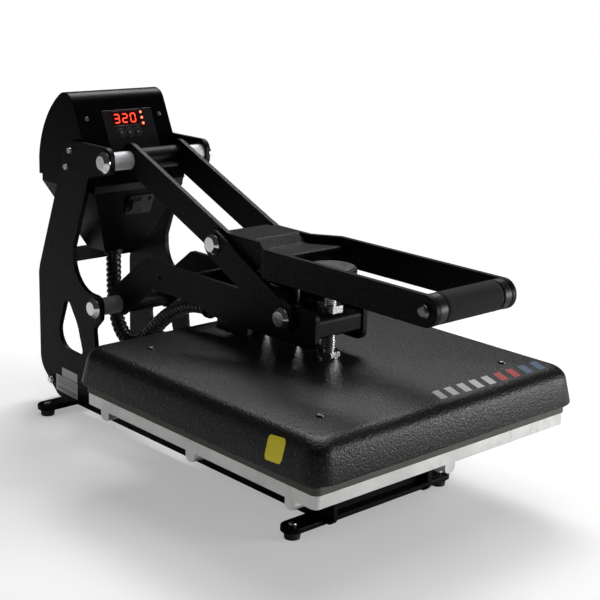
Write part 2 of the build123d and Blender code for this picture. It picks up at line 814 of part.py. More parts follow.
with BuildPart() as pressure_screw:
    foot = socket_floor + moving_gap
    with Locations((0, screw_y, foot)):
        Cylinder(screw_diameter / 2, knob_bottom + screw_in_knob - foot, align=up)
    with BuildSketch(Plane.XY.offset(cover_top - moving_gap)):
        with Locations((0, screw_y)):
            Circle(screw_diameter / 2 + 1)
            Circle(neck_diameter / 2, mode=Mode.SUBTRACT)
    extrude(amount=keeper_thickness + 2 * moving_gap, mode=Mode.SUBTRACT)
    with BuildSketch(Plane.XY.offset(cover_top + keeper_thickness + moving_gap)):
        with Locations((0, screw_y)):
            RegularPolygon(lock_nut_size / 2, 6, major_radius=False)
    extrude(amount=lock_nut_height)
finish(pressure_screw.part, "pressure_screw")

with BuildPart() as pressure_knob:
    with BuildSketch(Plane.XY.offset(knob_bottom)):
        with Locations((0, screw_y)):
            Circle(knob_diameter / 2)
    extrude(amount=knob_height)
    fillet(pressure_knob.faces().sort_by(Axis.Z)[0].outer_wire().edges(), 3)
    fillet(pressure_knob.faces().sort_by(Axis.Z)[-1].outer_wire().edges(), 1.5)
    with Locations((0, screw_y, knob_bottom)):
        Cylinder(screw_diameter / 2, screw_in_knob, align=up, mode=Mode.SUBTRACT)
finish(pressure_knob.part, "pressure_knob")

with BuildPart() as knob_disc:
    with Locations((0, screw_y, knob_top)):
        Cylinder(knob_disc_diameter / 2, knob_disc_thickness, align=up)
    fillet(knob_disc.edges().group_by(Axis.Z)[-1], 0.5)
finish(knob_disc.part, "knob_disc")

# Handle: two straps that step outwards, a stepped web, and the foam grip
strap_base = (upper_pivot_reach, upper_pivot_height)
strap_angle = math.degrees(
    math.atan2(upper_pivot_height - toggle_height, upper_pivot_reach - toggle_reach)
)
strap_half = (strap_up + strap_down) / 2
handle_corners = [
    (*along(strap_base, strap_angle, strap_half, strap_down), strap_half - 0.2),
    (*along(strap_base, strap_angle, strap_half, -strap_up), strap_half - 0.2),
    (reach_at(strap_base, strap_angle, -strap_up, bar_top), bar_top, 18),
    (front_reach, bar_top, bar_end - 0.2),
    (front_reach, bar_bottom, bar_end - 0.2),
    (reach_at(strap_base, strap_angle, strap_down, bar_bottom), bar_bottom, 14),
]
handle_points, handle_radii = outline(handle_corners)
strap_middle = inner_plate_outer - plate_thickness / 2
bar_middle = bar_front_half - plate_thickness / 2
bar_inner = bar_front_half - plate_thickness
grip_screw_shank = 8.0
for side, sign in sides:
    with BuildPart() as handle_bar:
        with BuildSketch(Plane.XY.offset(bar_bottom - 10)):
            with BuildLine():
                Polyline(
                    (sign * strap_middle, platen_y + upper_pivot_reach + 40),
                    (sign * strap_middle, platen_y + joggle_back_reach),
                    (sign * bar_middle, platen_y + joggle_front_reach),
                    (sign * bar_middle, platen_y + front_reach - 20),
                )
                offset(amount=plate_thickness / 2, side=Side.BOTH)
            make_face()
        extrude(amount=upper_pivot_height - bar_bottom + 50)
        with BuildSketch(side_plane(sign, inner_plate_inner - 5, 40)):
            with BuildLine():
                FilletPolyline(*handle_points, radius=handle_radii, close=True)
            make_face()
            with Locations(upper_pivot):
                Circle(shaft_hole / 2, mode=Mode.SUBTRACT)
            with Locations(toggle):
                Circle(link_bolt_diameter / 2 + running_clearance, mode=Mode.SUBTRACT)
            with Locations(grip_place):
                Circle(grip_screw_shank / 2, mode=Mode.SUBTRACT)
        extrude(amount=40, mode=Mode.INTERSECT)
    finish(handle_bar.part, f"handle_bar_{side}")

web_thickness = 3.0
web_back = 139.0
web_front = 31.5
web_step = 9.0
web_lip = 8.0
web_hole = (-37.0, platen_y + 56.0)
with BuildPart() as handle_web:
    high = bar_top - web_thickness / 2
    with BuildSketch(Plane.YZ.offset(-bar_inner)):
        with BuildLine():
            FilletPolyline(
                (platen_y + web_back, high),
                (platen_y + 86, high),
                (platen_y + 72, high - web_step),
                (platen_y + web_front, high - web_step),
                (platen_y + web_front, high - web_step - web_lip),
                radius=3,
            )
            offset(amount=web_thickness / 2, side=Side.BOTH)
        make_face()
    extrude(amount=2 * bar_inner)
    with BuildSketch(Plane.XY.offset(bar_top + 5)):
        with BuildLine():
            Polyline(
                (-inner_plate_inner, platen_y + web_back + 5),
                (inner_plate_inner, platen_y + web_back + 5),
                (inner_plate_inner, platen_y + joggle_back_reach - 3),
                (bar_inner, platen_y + joggle_front_reach - 3),
                (bar_inner, platen_y + web_front - 5),
                (-bar_inner, platen_y + web_front - 5),
                (-bar_inner, platen_y + joggle_front_reach - 3),
                (-inner_plate_inner, platen_y + joggle_back_reach - 3),
                close=True,
            )
        make_face()
        with Locations(web_hole):
            Circle(3, mode=Mode.SUBTRACT)
    extrude(amount=-40, mode=Mode.INTERSECT)
finish(handle_web.part, "handle_web")

sleeve_half = bar_inner - grip_collar_width
grip_screw_length = 24.0
grip_screw_head = 5.0
with BuildPart() as grip_rod:
    with BuildSketch(Plane.YZ.offset(-bar_inner)):
        with Locations(grip_place):
            Circle(grip_rod_diameter / 2)
    extrude(amount=2 * bar_inner)
    for side, sign in sides:
        with BuildSketch(outward(sign, bar_inner, grip_place)):
            Circle(grip_screw_shank / 2)
        extrude(amount=-(grip_screw_length - plate_thickness), mode=Mode.SUBTRACT)
finish(grip_rod.part, "grip_rod")

with BuildPart() as grip_sleeve:
    with BuildSketch(Plane.YZ.offset(-sleeve_half)):
        with Locations(grip_place):
            Circle(bar_end)
            Circle(grip_rod_diameter / 2, mode=Mode.SUBTRACT)
    extrude(amount=2 * sleeve_half)
finish(grip_sleeve.part, "grip_sleeve")

with BuildPart() as grip_collars:
    for side, sign in sides:
        with BuildSketch(side_plane(sign, sleeve_half, grip_collar_width)):
            with Locations(grip_place):
                Circle(bar_end - 0.3)
                Circle(grip_rod_diameter / 2, mode=Mode.SUBTRACT)
        extrude(amount=grip_collar_width)
    fillet(grip_collars.edges().filter_by(GeomType.CIRCLE).group_by(SortBy.RADIUS)[-1], 1.0)
finish(grip_collars.part, "grip_collars")

with BuildPart() as grip_screws:
    for side, sign in sides:
        with BuildSketch(outward(sign, bar_front_half, grip_place)):
            Circle(grip_screw_diameter / 2)
        extrude(amount=grip_screw_head)
        fillet(grip_screws.edges().group_by(Axis.X)[0 if sign < 0 else -1], grip_screw_head * 0.8)
        with BuildSketch(outward(sign, bar_front_half, grip_place)):
            Circle(grip_screw_shank / 2)
        extrude(amount=-grip_screw_length)
finish(grip_screws.part, "grip_screws")

# Links between handle and arm, and their bolts
link_rise = toggle_height - link_pivot_height
link_run = toggle_reach - link_pivot_reach
link_length = math.hypot(link_rise, link_run)
link_angle = math.degrees(math.atan2(link_rise, link_run))
link_middle = (
    platen_y + (toggle_reach + link_pivot_reach) / 2,
    (toggle_height + link_pivot_height) / 2,
)
with BuildPart() as link_plates:
    for side, sign in sides:
        with BuildSketch(side_plane(sign, link_inner, plate_thickness)):
            with Locations(link_middle):
                SlotCenterToCenter(link_length, link_width, rotation=link_angle)
            with Locations(toggle, link_pivot):
                Circle(link_bolt_diameter / 2, mode=Mode.SUBTRACT)
        extrude(amount=plate_thickness)
finish(link_plates.part, "link_plates")

with BuildPart() as link_bolts:
    for place, shank in (
        (toggle, plate_thickness),
        (link_pivot, 2 * plate_thickness + 2 * moving_gap + nut_thickness),
    ):
        for side, sign in sides:
            with BuildSketch(outward(sign, link_outer, place)):
                Circle(link_cap_diameter / 2)
            extrude(amount=cap_edge)
            with BuildSketch(outward(sign, link_outer + cap_edge, place)):
                Circle(link_cap_diameter / 2)
            with BuildSketch(outward(sign, link_outer + link_cap_height, place)):
                Circle(cap_flat_diameter / 2)
            loft()
            with BuildSketch(outward(sign, link_outer, place)):
                Circle(link_bolt_diameter / 2)
            extrude(amount=-shank)
    for side, sign in sides:
        with BuildSketch(outward(sign, inner_plate_inner - moving_gap, link_pivot)):
            RegularPolygon(nut_half, 6, major_radius=False)
        extrude(amount=-nut_thickness)
finish(link_bolts.part, "link_bolts")

# Control box: outline seen from the side, used by the shell and its ends
box_start = (platen_y + box_front_reach, box_bottom)
box_apex = (platen_y + box_apex_reach, box_apex_height)
back_top = (platen_y + box_back_reach, box_bottom + box_back_flat)
back_run = (back_top[0] - box_apex[0], back_top[1] - box_apex[1])
back_chord = math.hypot(*back_run)
back_middle = (
    (box_apex[0] + back_top[0]) / 2 - box_back_bulge * back_run[1] / back_chord,
    (box_apex[1] + back_top[1]) / 2 + box_back_bulge * back_run[0] / back_chord,
)
with BuildSketch() as box_outline:
    with BuildLine():
        Line(box_start, box_apex)
        ThreePointArc(box_apex, back_middle, back_top)
        Line(back_top, (back_top[0], box_bottom))
        Line((back_top[0], box_bottom), box_start)
    make_face()
    fillet(box_outline.vertices().sort_by(Axis.Y)[-1], box_apex_radius)

# Plane of the sloped front, with its zero at the front lower edge of the box
face_plane = Plane(
    origin=(0, *box_start),
    x_dir=(1, 0, 0),
    z_dir=(0, -math.cos(box_slope), math.sin(box_slope)),
)
faceplate_up = (faceplate_low + faceplate_high) / 2
faceplate_rise = faceplate_high - faceplate_low
faceplate_rim = 2.0
face_screw_x = 56.0
face_screw_up = 88.0
low_screw_place = (28.0, 9.0)
face_screw_places = [(-face_screw_x, face_screw_up), (face_screw_x, face_screw_up), low_screw_place]
small_pin = 3.0
wire_hole = 24.0
inlet_body_width = inlet_width - 4
inlet_body_height = inlet_height - 2.4
inlet_depth = 16.0
inlet_height_mid = box_bottom + inlet_up
inlet_plane = Plane.XZ.offset(-(platen_y + back_reach))
lead_reach = 412.0

with BuildPart() as control_box:
    with BuildSketch(Plane.YZ.offset(-(box_half_width - box_wall))):
        add(box_outline.sketch)
        offset(amount=-box_wall, mode=Mode.SUBTRACT)
    extrude(amount=2 * (box_half_width - box_wall))
    with BuildSketch(face_plane):
        with Locations((faceplate_middle, faceplate_up)):
            Rectangle(faceplate_width - 2 * faceplate_rim, faceplate_rise - 2 * faceplate_rim)
        with Locations(*face_screw_places):
            Circle(small_pin / 2)
    extrude(amount=-2 * box_wall, mode=Mode.SUBTRACT)
    with BuildSketch(inlet_plane):
        with Locations((0, inlet_height_mid)):
            Rectangle(inlet_body_width + 2 * seat_gap, inlet_body_height + 2 * seat_gap)
    extrude(amount=inlet_proud + 2 * box_wall, mode=Mode.SUBTRACT)
    with Locations((0, platen_y + lead_reach, box_bottom)):
        Cylinder(wire_hole / 2, 2 * box_wall, mode=Mode.SUBTRACT)
finish(control_box.part, "control_box")

with BuildPart() as box_ends:
    for side, sign in sides:
        with BuildSketch(side_plane(sign, box_half_width - box_wall, box_wall)):
            add(box_outline.sketch)
            with Locations(*[(platen_y + y, z) for y, z in box_screw_places]):
                Circle(small_screw / 2, mode=Mode.SUBTRACT)
        extrude(amount=box_wall)
finish(box_ends.part, "box_ends")

# Lower housing: a short band under the box, then tapering down to the lead
housing_mid = (housing_top_front + housing_top_back) / 2
housing_low_mid = (housing_bottom_front + housing_bottom_back) / 2
with BuildPart() as lower_housing:
    for thickness, mode in ((0, Mode.ADD), (box_wall, Mode.SUBTRACT)):
        with BuildSketch(Plane.XY.offset(box_bottom - housing_band)):
            with Locations((0, platen_y + housing_mid)):
                Rectangle(
                    2 * (housing_top_half - thickness),
                    housing_top_back - housing_top_front - 2 * thickness,
                )
        extrude(amount=housing_band, mode=mode)
        with BuildSketch(Plane.XY.offset(box_bottom - housing_band)):
            with Locations((0, platen_y + housing_mid)):
                Rectangle(
                    2 * (housing_top_half - thickness),
                    housing_top_back - housing_top_front - 2 * thickness,
                )
        with BuildSketch(Plane.XY.offset(housing_bottom + thickness)):
            with Locations((0, platen_y + housing_low_mid)):
                Rectangle(
                    2 * (housing_bottom_half - thickness),
                    housing_bottom_back - housing_bottom_front - 2 * thickness,
                )
        loft(mode=mode)
    with Locations((0, platen_y + lead_reach, housing_bottom)):
        Cylinder(lead_bore / 2, 4 * box_wall, mode=Mode.SUBTRACT)
finish(lower_housing.part, "lower_housing")

# Faceplate with its window, lamps and buttons
button_places = [(button_middle + step * button_pitch, button_up) for step in (-1, 0, 1)]
lamp_places = [(lamp_x, lamp_top - step * lamp_pitch) for step in (0, 1, 2)]
with BuildPart() as faceplate:
    with BuildSketch(face_plane):
        with Locations((faceplate_middle, faceplate_up)):
            RectangleRounded(faceplate_width, faceplate_rise, 1.5)
        with Locations((display_middle, display_up)):
            Rectangle(display_width, display_height, mode=Mode.SUBTRACT)
        with Locations(*button_places):
            Circle(button_diameter / 2 + moving_gap, mode=Mode.SUBTRACT)
        with Locations(*lamp_places):
            Circle(lamp_diameter / 2, mode=Mode.SUBTRACT)
    extrude(amount=faceplate_thickness)
finish(faceplate.part, "faceplate")

window_depth = 2.0
board_depth = 12.0
board_thickness = 1.6
board_width = 124.0
board_rise = 44.0
board_up = 76.0
tact_height = 3.5
with BuildPart() as display_window:
    with BuildSketch(face_plane.offset(-window_depth)):
        with Locations((display_middle, display_up)):
            Rectangle(display_width, display_height)
    extrude(amount=window_depth + faceplate_thickness)
finish(display_window.part, "display_window")

with BuildPart() as status_lamps:
    with BuildSketch(face_plane.offset(-board_depth)):
        with Locations(*lamp_places):
            Circle(lamp_diameter / 2)
    extrude(amount=board_depth + faceplate_thickness + 0.6)
finish(status_lamps.part, "status_lamps")

with BuildPart() as controller_board:
    with BuildSketch(face_plane.offset(-board_depth)):
        with Locations((0, board_up)):
            Rectangle(board_width, board_rise)
        with Locations(*face_screw_places[:2]):
            Circle(small_pin / 2, mode=Mode.SUBTRACT)
    extrude(amount=-board_thickness)
    with BuildSketch(face_plane.offset(-board_depth)):
        with Locations((display_middle, display_up)):
            Rectangle(display_width - 2, display_height - 2)
    extrude(amount=board_depth - window_depth)
    with BuildSketch(face_plane.offset(-board_depth)):
        with Locations(*button_places):
            Rectangle(6, 6)
    extrude(amount=tact_height)
    with BuildSketch(face_plane.offset(-board_depth)):
        with Locations(*face_screw_places[:2]):
            Circle(small_pin / 2 + 2)
            Circle(small_pin / 2, mode=Mode.SUBTRACT)
    extrude(amount=board_depth - box_wall)
finish(controller_board.part, "controller_board")

button_flange = 1.0
button_flange_thickness = 1.5
button_stem = 2.0
for number, place in enumerate(button_places, 1):
    with BuildPart() as button:
        flange_back = moving_gap + button_flange_thickness
        with BuildSketch(face_plane.offset(-flange_back)):
            with Locations(place):
                Circle(button_diameter / 2 + button_flange)
        extrude(amount=button_flange_thickness)
        with BuildSketch(face_plane.offset(-flange_back)):
            with Locations(place):
                Circle(button_diameter / 2)
        extrude(amount=flange_back + faceplate_thickness + button_proud)
        with BuildSketch(face_plane.offset(-(board_depth - tact_height - button_travel - moving_gap))):
            with Locations(place):
                Circle(button_stem)
        extrude(amount=board_depth - tact_height - button_travel - moving_gap - flange_back)
    finish(button.part, f"button_{number}")

box_screw_length = 12.0
face_head_radius = 3.0
face_head_height = 1.8
with BuildPart() as box_screws:
    for side, sign in sides:
        for y, z in box_screw_places:
            with BuildSketch(outward(sign, frame_outer_half, (platen_y + y, z))):
                Circle(button_head_radius)
            extrude(amount=button_head_height, taper=18)
            with BuildSketch(outward(sign, frame_outer_half, (platen_y + y, z))):
                Circle(small_screw / 2)
            extrude(amount=-box_screw_length)
    with BuildSketch(face_plane):
        with Locations(*face_screw_places):
            Circle(face_head_radius)
    extrude(amount=face_head_height, taper=20)
    with BuildSketch(face_plane):
        with Locations(*face_screw_places[:2]):
            Circle(small_pin / 2)
    extrude(amount=-(board_depth + board_thickness))
    with BuildSketch(face_plane):
        with Locations(low_screw_place):
            Circle(small_pin / 2)
    extrude(amount=-8)
finish(box_screws.part, "box_screws")

# Limit switch on a bracket on the front of the lower housing
housing_slope = math.atan2(
    housing_bottom_front - housing_top_front, box_bottom - housing_band - housing_bottom
)
housing_plane = Plane(
    origin=(0, platen_y + housing_top_front, box_bottom - housing_band),
    x_dir=(1, 0, 0),
    z_dir=(0, -math.cos(housing_slope), -math.sin(housing_slope)),
)
bracket_middle = (5.0, -23.0)
bracket_sheet = 2.0
switch_screw_spots = [(-9, -31.5), (7, -31.5), (4, -14.5), (20, -16)]
with BuildPart() as limit_switch:
    with BuildSketch(housing_plane):
        with Locations(bracket_middle):
            RectangleRounded(40, 28, 4)
    extrude(amount=bracket_sheet)
    with BuildSketch(housing_plane.offset(bracket_sheet)):
        with Locations((-6, -20)):
            RectangleRounded(12, 14, 1.5)
    extrude(amount=7)
    with BuildSketch(housing_plane.offset(bracket_sheet)):
        with Locations(*switch_screw_spots):
            Circle(face_head_radius)
    extrude(amount=face_head_height, taper=20)
finish(limit_switch.part, "limit_switch")

# Inlet and rocker housing in one moulding, and the rocker on its two pins
socket_depth = 12.0
pin_length = 9.0
rocker_pin = 3.0
rocker_pin_length = 1.0
rocker_gap = 0.3
rocker_recess_half = 9.4
rocker_depth = 4.5
rocker_pivot = (platen_y + back_reach - rocker_depth, inlet_height_mid)
with BuildPart() as power_inlet:
    with BuildSketch(inlet_plane):
        with Locations((0, inlet_height_mid)):
            RectangleRounded(inlet_width, inlet_height, 2)
    extrude(amount=inlet_proud)
    with BuildSketch(inlet_plane):
        with Locations((0, inlet_height_mid)):
            Rectangle(inlet_body_width, inlet_body_height)
    extrude(amount=inlet_proud + inlet_depth)
    with BuildSketch(inlet_plane) as socket_mouth:
        with Locations((socket_x, inlet_height_mid)):
            Rectangle(24.5, 16.0)
        chamfer(socket_mouth.vertices().group_by(Axis.Y)[-1], 4)
    extrude(amount=socket_depth, mode=Mode.SUBTRACT)
    with BuildSketch(inlet_plane.offset(socket_depth)):
        with Locations((socket_x - 7, inlet_height_mid), (socket_x + 7, inlet_height_mid)):
            Rectangle(2, 4)
        with Locations((socket_x, inlet_height_mid + 3)):
            Rectangle(2, 4)
    extrude(amount=-pin_length)
    with BuildSketch(inlet_plane):
        with Locations((rocker_x, inlet_height_mid)):
            Rectangle(rocker_width + 2 * rocker_gap, 2 * rocker_recess_half)
    extrude(amount=socket_depth + 2, mode=Mode.SUBTRACT)
    with BuildSketch(Plane.YZ.offset(rocker_x - rocker_width / 2 - rocker_pin_length - rocker_gap)):
        with Locations(rocker_pivot):
            Circle(rocker_pin / 2 + running_clearance)
    extrude(amount=rocker_width + 2 * (rocker_pin_length + rocker_gap), mode=Mode.SUBTRACT)
finish(power_inlet.part, "power_inlet")

with BuildPart() as power_switch:
    with BuildSketch(Plane.YZ.offset(rocker_x - rocker_width / 2)):
        with Locations(Location((*rocker_pivot, 0), rocker_tilt)):
            Polygon(
                (-4, -rocker_half + 0.5),
                (3, -rocker_half),
                (1.2, 0),
                (3, rocker_half),
                (-4, rocker_half - 0.5),
                align=None,
            )
    extrude(amount=rocker_width)
    with BuildSketch(Plane.YZ.offset(rocker_x - rocker_width / 2 - rocker_pin_length)):
        with Locations(rocker_pivot):
            Circle(rocker_pin / 2)
    extrude(amount=rocker_width + 2 * rocker_pin_length)
finish(power_switch.part, "power_switch")

# Heater lead: a ribbed wrap from the gland under the housing to the bracket
gland_height = 10.0
lead_start_height = housing_bottom - gland_height
with BuildPart() as lead_gland:
    with BuildSketch(Plane.XY.offset(lead_start_height)):
        with Locations((0, platen_y + lead_reach)):
            Circle(lead_diameter / 2 + 2.5)
            Circle(lead_bore / 2, mode=Mode.SUBTRACT)
    extrude(amount=gland_height)
    fillet(lead_gland.edges().filter_by(GeomType.CIRCLE).group_by(SortBy.RADIUS)[-1].sort_by(Axis.Z)[0], 1)
finish(lead_gland.part, "lead_gland")

lead_route = [
    (lead_reach, lead_start_height),
    (lead_reach, 160),
    (410, 120),
    (394, 91),
    (366, 82),
    (338, 98),
    (303, 132),
    (277, 149),
    (lead_end_reach + 32, lead_end_height),
    (lead_end_reach, lead_end_height),
]
lead_points = [(platen_y + y, z) for y, z in lead_route]


def route_radii(points, share, last_share):
    """Radii whose tangents take a share of the shorter run at each corner."""
    radii = []
    for number in range(1, len(points) - 1):
        before, here, after = (Vector(*point) for point in points[number - 1 : number + 2])
        run_in, run_out = here - before, after - here
        used = last_share if number == len(points) - 2 else share
        half_turn = math.radians(run_in.get_angle(run_out)) / 2
        radii.append(used * min(run_in.length, run_out.length) / math.tan(half_turn))
    return radii


lead_radii = route_radii(lead_points, 0.45, 0.36)
print("lead radii", [round(radius, 1) for radius in lead_radii])
with BuildLine(Plane.YZ) as lead_path:
    FilletPolyline(*lead_points, radius=lead_radii)
lead_wire = lead_path.wires()[0]
lead_length = lead_wire.length
print("lead length", round(lead_length, 1))

rib_count = round((lead_length - 2 * lead_diameter) / lead_rib_pitch)
rib_step = (lead_length - 2 * lead_diameter) / rib_count
rib_shape = (
    (0.0, lead_groove_diameter),
    (0.25, lead_diameter),
    (0.75, lead_diameter),
    (0.99, lead_groove_diameter),
)
lead_rings = [(0.0, lead_groove_diameter)]
for rib in range(rib_count):
    for share, diameter in rib_shape:
        lead_rings.append((lead_diameter + (rib + share) * rib_step, diameter))
lead_rings.append((lead_length, lead_groove_diameter))
with BuildPart() as heater_lead:
    for distance, diameter in lead_rings:
        ring_plane = Plane(
            origin=lead_wire.position_at(distance / lead_length),
            x_dir=(1, 0, 0),
            z_dir=lead_wire.tangent_at(distance / lead_length),
        )
        with BuildSketch(ring_plane):
            Circle(diameter / 2)
    loft(ruled=True)
    with BuildLine():
        add(lead_wire)
    lead_start = lead_wire.position_at(0)
    with BuildSketch(Plane(origin=lead_start, x_dir=(1, 0, 0), z_dir=lead_wire.tangent_at(0))):
        Circle(lead_bore / 2)
    sweep(mode=Mode.SUBTRACT)
finish(heater_lead.part, "heater_lead")
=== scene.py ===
import json
import math

import bmesh
import bpy
from mathutils import Matrix, Vector
from mathutils.bvhtree import BVHTree


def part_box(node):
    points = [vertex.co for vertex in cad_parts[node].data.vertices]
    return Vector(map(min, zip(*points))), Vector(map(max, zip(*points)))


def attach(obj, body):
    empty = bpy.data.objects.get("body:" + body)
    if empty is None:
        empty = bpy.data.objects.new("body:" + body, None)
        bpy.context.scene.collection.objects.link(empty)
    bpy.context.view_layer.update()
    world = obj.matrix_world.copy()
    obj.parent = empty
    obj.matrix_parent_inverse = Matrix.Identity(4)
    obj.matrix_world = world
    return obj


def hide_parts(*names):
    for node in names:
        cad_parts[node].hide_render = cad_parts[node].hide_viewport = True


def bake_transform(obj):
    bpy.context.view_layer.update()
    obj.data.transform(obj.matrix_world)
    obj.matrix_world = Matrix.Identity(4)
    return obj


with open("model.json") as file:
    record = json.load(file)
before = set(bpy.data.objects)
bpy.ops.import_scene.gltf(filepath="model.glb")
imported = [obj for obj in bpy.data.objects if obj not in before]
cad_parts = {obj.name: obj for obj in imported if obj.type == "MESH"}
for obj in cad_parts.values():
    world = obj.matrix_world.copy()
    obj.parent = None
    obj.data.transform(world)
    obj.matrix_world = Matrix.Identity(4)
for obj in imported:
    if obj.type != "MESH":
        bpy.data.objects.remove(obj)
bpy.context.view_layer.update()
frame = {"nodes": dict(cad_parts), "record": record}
nodes = frame["nodes"]

# Metres. Sizes named "reach" are measured along Y from the centre of the platens, as in part.py.
PLATEN_Y = -0.133375
X_AXIS = Vector((1, 0, 0))


def place(reach, x, z):
    return Vector((x, PLATEN_Y + reach, z))


# ---- camera, at the photograph's place -------------------------------------
CAMERA_PLACE = (-0.98390, -1.148895, 0.60358)
CAMERA_ANGLES = (-42.865, 15.084, 1.732)
CAMERA_LENS, CAMERA_SENSOR = 79.42, 36
PHOTO_PIXELS = 600

azimuth, pitch, roll = (math.radians(a) for a in CAMERA_ANGLES)
back = Vector((math.sin(azimuth) * math.cos(pitch), -math.cos(azimuth) * math.cos(pitch), math.sin(pitch)))
level = Vector((math.cos(azimuth), math.sin(azimuth), 0))
rise = back.cross(level)
right = math.cos(roll) * level + math.sin(roll) * rise
up = -math.sin(roll) * level + math.cos(roll) * rise
camera = bpy.data.objects.new("camera", bpy.data.cameras.new("camera"))
camera.matrix_world = Matrix.Translation(CAMERA_PLACE) @ Matrix((right, up, back)).transposed().to_4x4()
camera.data.lens = CAMERA_LENS
camera.data.sensor_width = CAMERA_SENSOR
camera.data.clip_start = 0.05
bpy.context.collection.objects.link(camera)
bpy.context.scene.camera = camera


# ---- materials ---------------------------------------------------------------
class Mat:
    """A material under construction, with its Principled shader."""

    def __init__(self, name, color, rough, metal=0.0, **sockets):
        self.mat = bpy.data.materials.new(name)
        self.mat.use_nodes = True
        self.tree = self.mat.node_tree
        self.shader = self.tree.nodes["Principled BSDF"]
        self.shader.inputs["Base Color"].default_value = (*color, 1)
        self.shader.inputs["Roughness"].default_value = rough
        self.shader.inputs["Metallic"].default_value = metal
        for key, value in sockets.items():
            self.shader.inputs[key.replace("_", " ")].default_value = value
        self.normal = None
        self.place = self.node("ShaderNodeTexCoord").outputs["Object"]

    def node(self, kind, **settings):
        """A node, with properties and sockets (their spaces written as _) set by name."""
        made = self.tree.nodes.new(kind)
        for key, value in settings.items():
            if key in made.bl_rna.properties:
                setattr(made, key, value)
            else:
                made.inputs[key.replace("_", " ")].default_value = value
        return made

    def link(self, out, socket):
        self.tree.links.new(out, socket)

    def noise(self, scale, detail=3.0, stretch=(1, 1, 1)):
        mapping = self.node("ShaderNodeMapping", Scale=stretch)
        made = self.node("ShaderNodeTexNoise", Scale=scale, Detail=detail)
        self.link(self.place, mapping.inputs["Vector"])
        self.link(mapping.outputs["Vector"], made.inputs["Vector"])
        return made.outputs["Fac"]

    def cells(self, scale, feature="F1"):
        made = self.node("ShaderNodeTexVoronoi", feature=feature, Scale=scale)
        self.link(self.place, made.inputs["Vector"])
        return made.outputs["Distance"]

    def colour(self, value, stops):
        """Base colour from a ramp over value; a stop's colour may be one grey."""
        made = self.node("ShaderNodeValToRGB")
        for element, (at, color) in zip(made.color_ramp.elements, stops[:1] + stops[-1:]):
            element.position = at
            element.color = self.rgba(color)
        for at, color in stops[1:-1]:
            made.color_ramp.elements.new(at).color = self.rgba(color)
        self.link(value, made.inputs["Fac"])
        self.link(made.outputs["Color"], self.shader.inputs["Base Color"])
        return self

    @staticmethod
    def rgba(color):
        return (*color, 1) if hasattr(color, "__len__") else (color, color, color, 1)

    def roughness(self, value, low, high):
        made = self.node("ShaderNodeMapRange", From_Min=0.3, From_Max=0.7, To_Min=low, To_Max=high)
        self.link(value, made.inputs["Value"])
        self.link(made.outputs["Result"], self.shader.inputs["Roughness"])
        return self

    def bend_normal(self, made):
        """Pass the normal on through one more bump or bevel node."""
        if self.normal is not None:
            self.link(self.normal, made.inputs["Normal"])
        self.normal = made.outputs["Normal"]
        self.link(self.normal, self.shader.inputs["Normal"])
        return self

    def bump(self, value, distance):
        made = self.node("ShaderNodeBump", Strength=1.0, Distance=distance)
        self.link(value, made.inputs["Height"])
        return self.bend_normal(made)

    def soft_edges(self, radius):
        return self.bend_normal(self.node("ShaderNodeBevel", samples=4, Radius=radius))


slots = {}  # every material by its name, the record's slots among them


def keep(made):
    """Hold a finished material under its name, without a number that Blender may add."""
    slots[made.mat.name.split(".")[0]] = made.mat


def powder_coat(name, color, light, grain, depth, rough, gloss):
    """Black powder in two layers of pebbles, with painted shade in the hollows and painted glints on the
    tops.
    """
    made = Mat(name, color, rough, Specular_IOR_Level=gloss).soft_edges(0.0007)
    pebble_shade_glint = made.noise(grain, 2.0)
    # painted shade and painted glints: the pebbles' hollows darker, their tops lighter in the second colour
    made.colour(pebble_shade_glint, [(0.40, [c * 0.3 for c in color]), (0.56, color), (0.72, light)])
    made.roughness(pebble_shade_glint, rough + 0.12, rough - 0.08)
    keep(made.bump(pebble_shade_glint, depth).bump(made.noise(grain * 0.7, 2.0), depth * 0.7))


def metal(name, color, rough, depth, spread, stretch=(1, 1, 1)):
    """Bare metal, clouded in colour and streaked along the axis that stretch shortens."""
    made = Mat(name, color, rough, 1.0).soft_edges(0.0004)
    streak = made.noise(260.0, 4.0, stretch)
    made.colour(made.noise(22.0, 4.0), [(0.3, [c * (1 - spread) for c in color]), (0.7, color)])
    keep(made.roughness(streak, rough * 0.75, rough * 1.3).bump(streak, depth))


def plastic(name, color, rough, depth=0.00004, grain=900.0, edge=0.0005, **sockets):
    """Moulded plastic, rubber, film or smooth paint."""
    made = Mat(name, color, rough, **sockets).soft_edges(edge)
    made.colour(made.noise(35.0, 3.0), [(0.3, [c * 0.88 for c in color]), (0.7, color)])
    made.roughness(made.noise(60.0, 3.0), rough * 0.9, rough * 1.12)
    keep(made.bump(made.noise(grain, 2.0), depth))


def glow(name, color, strength):
    """A lit lamp or segment."""
    made = Mat(name, [c * 0.5 for c in color], 0.3, Emission_Color=(*color, 1), Emission_Strength=strength)
    keep(made.bump(made.noise(500.0, 2.0), 0.00002))


# each paint's second colour is the painted glint on its pebble tops
powder_coat("frame_paint", (0.0015, 0.0014, 0.0016), (0.013, 0.0125, 0.013), 560.0, 0.00030, 0.42, 0.11)
powder_coat("cover_paint", (0.0026, 0.0025, 0.0029), (0.040, 0.038, 0.042), 480.0, 0.00062, 0.38, 0.32)
plastic("box_paint", (0.0012, 0.0011, 0.0014), 0.3, 0.00002, 700.0, 0.0008, Specular_IOR_Level=0.07)
metal("cast_aluminium", (0.74, 0.735, 0.725), 0.36, 0.00012, 0.22, (1, 1, 0.2))
plastic("silicone", (0.075, 0.072, 0.060), 0.6, 0.00008, 500.0, 0.0012)
metal("polished_chrome", (0.92, 0.91, 0.89), 0.14, 0.00001, 0.05)
metal("zinc_steel", (0.62, 0.62, 0.61), 0.26, 0.00003, 0.14)
plastic("light_nylon", (0.86, 0.87, 0.90), 0.42, 0.00003)
plastic("dark_nylon", (0.26, 0.26, 0.27), 0.45, 0.00003)
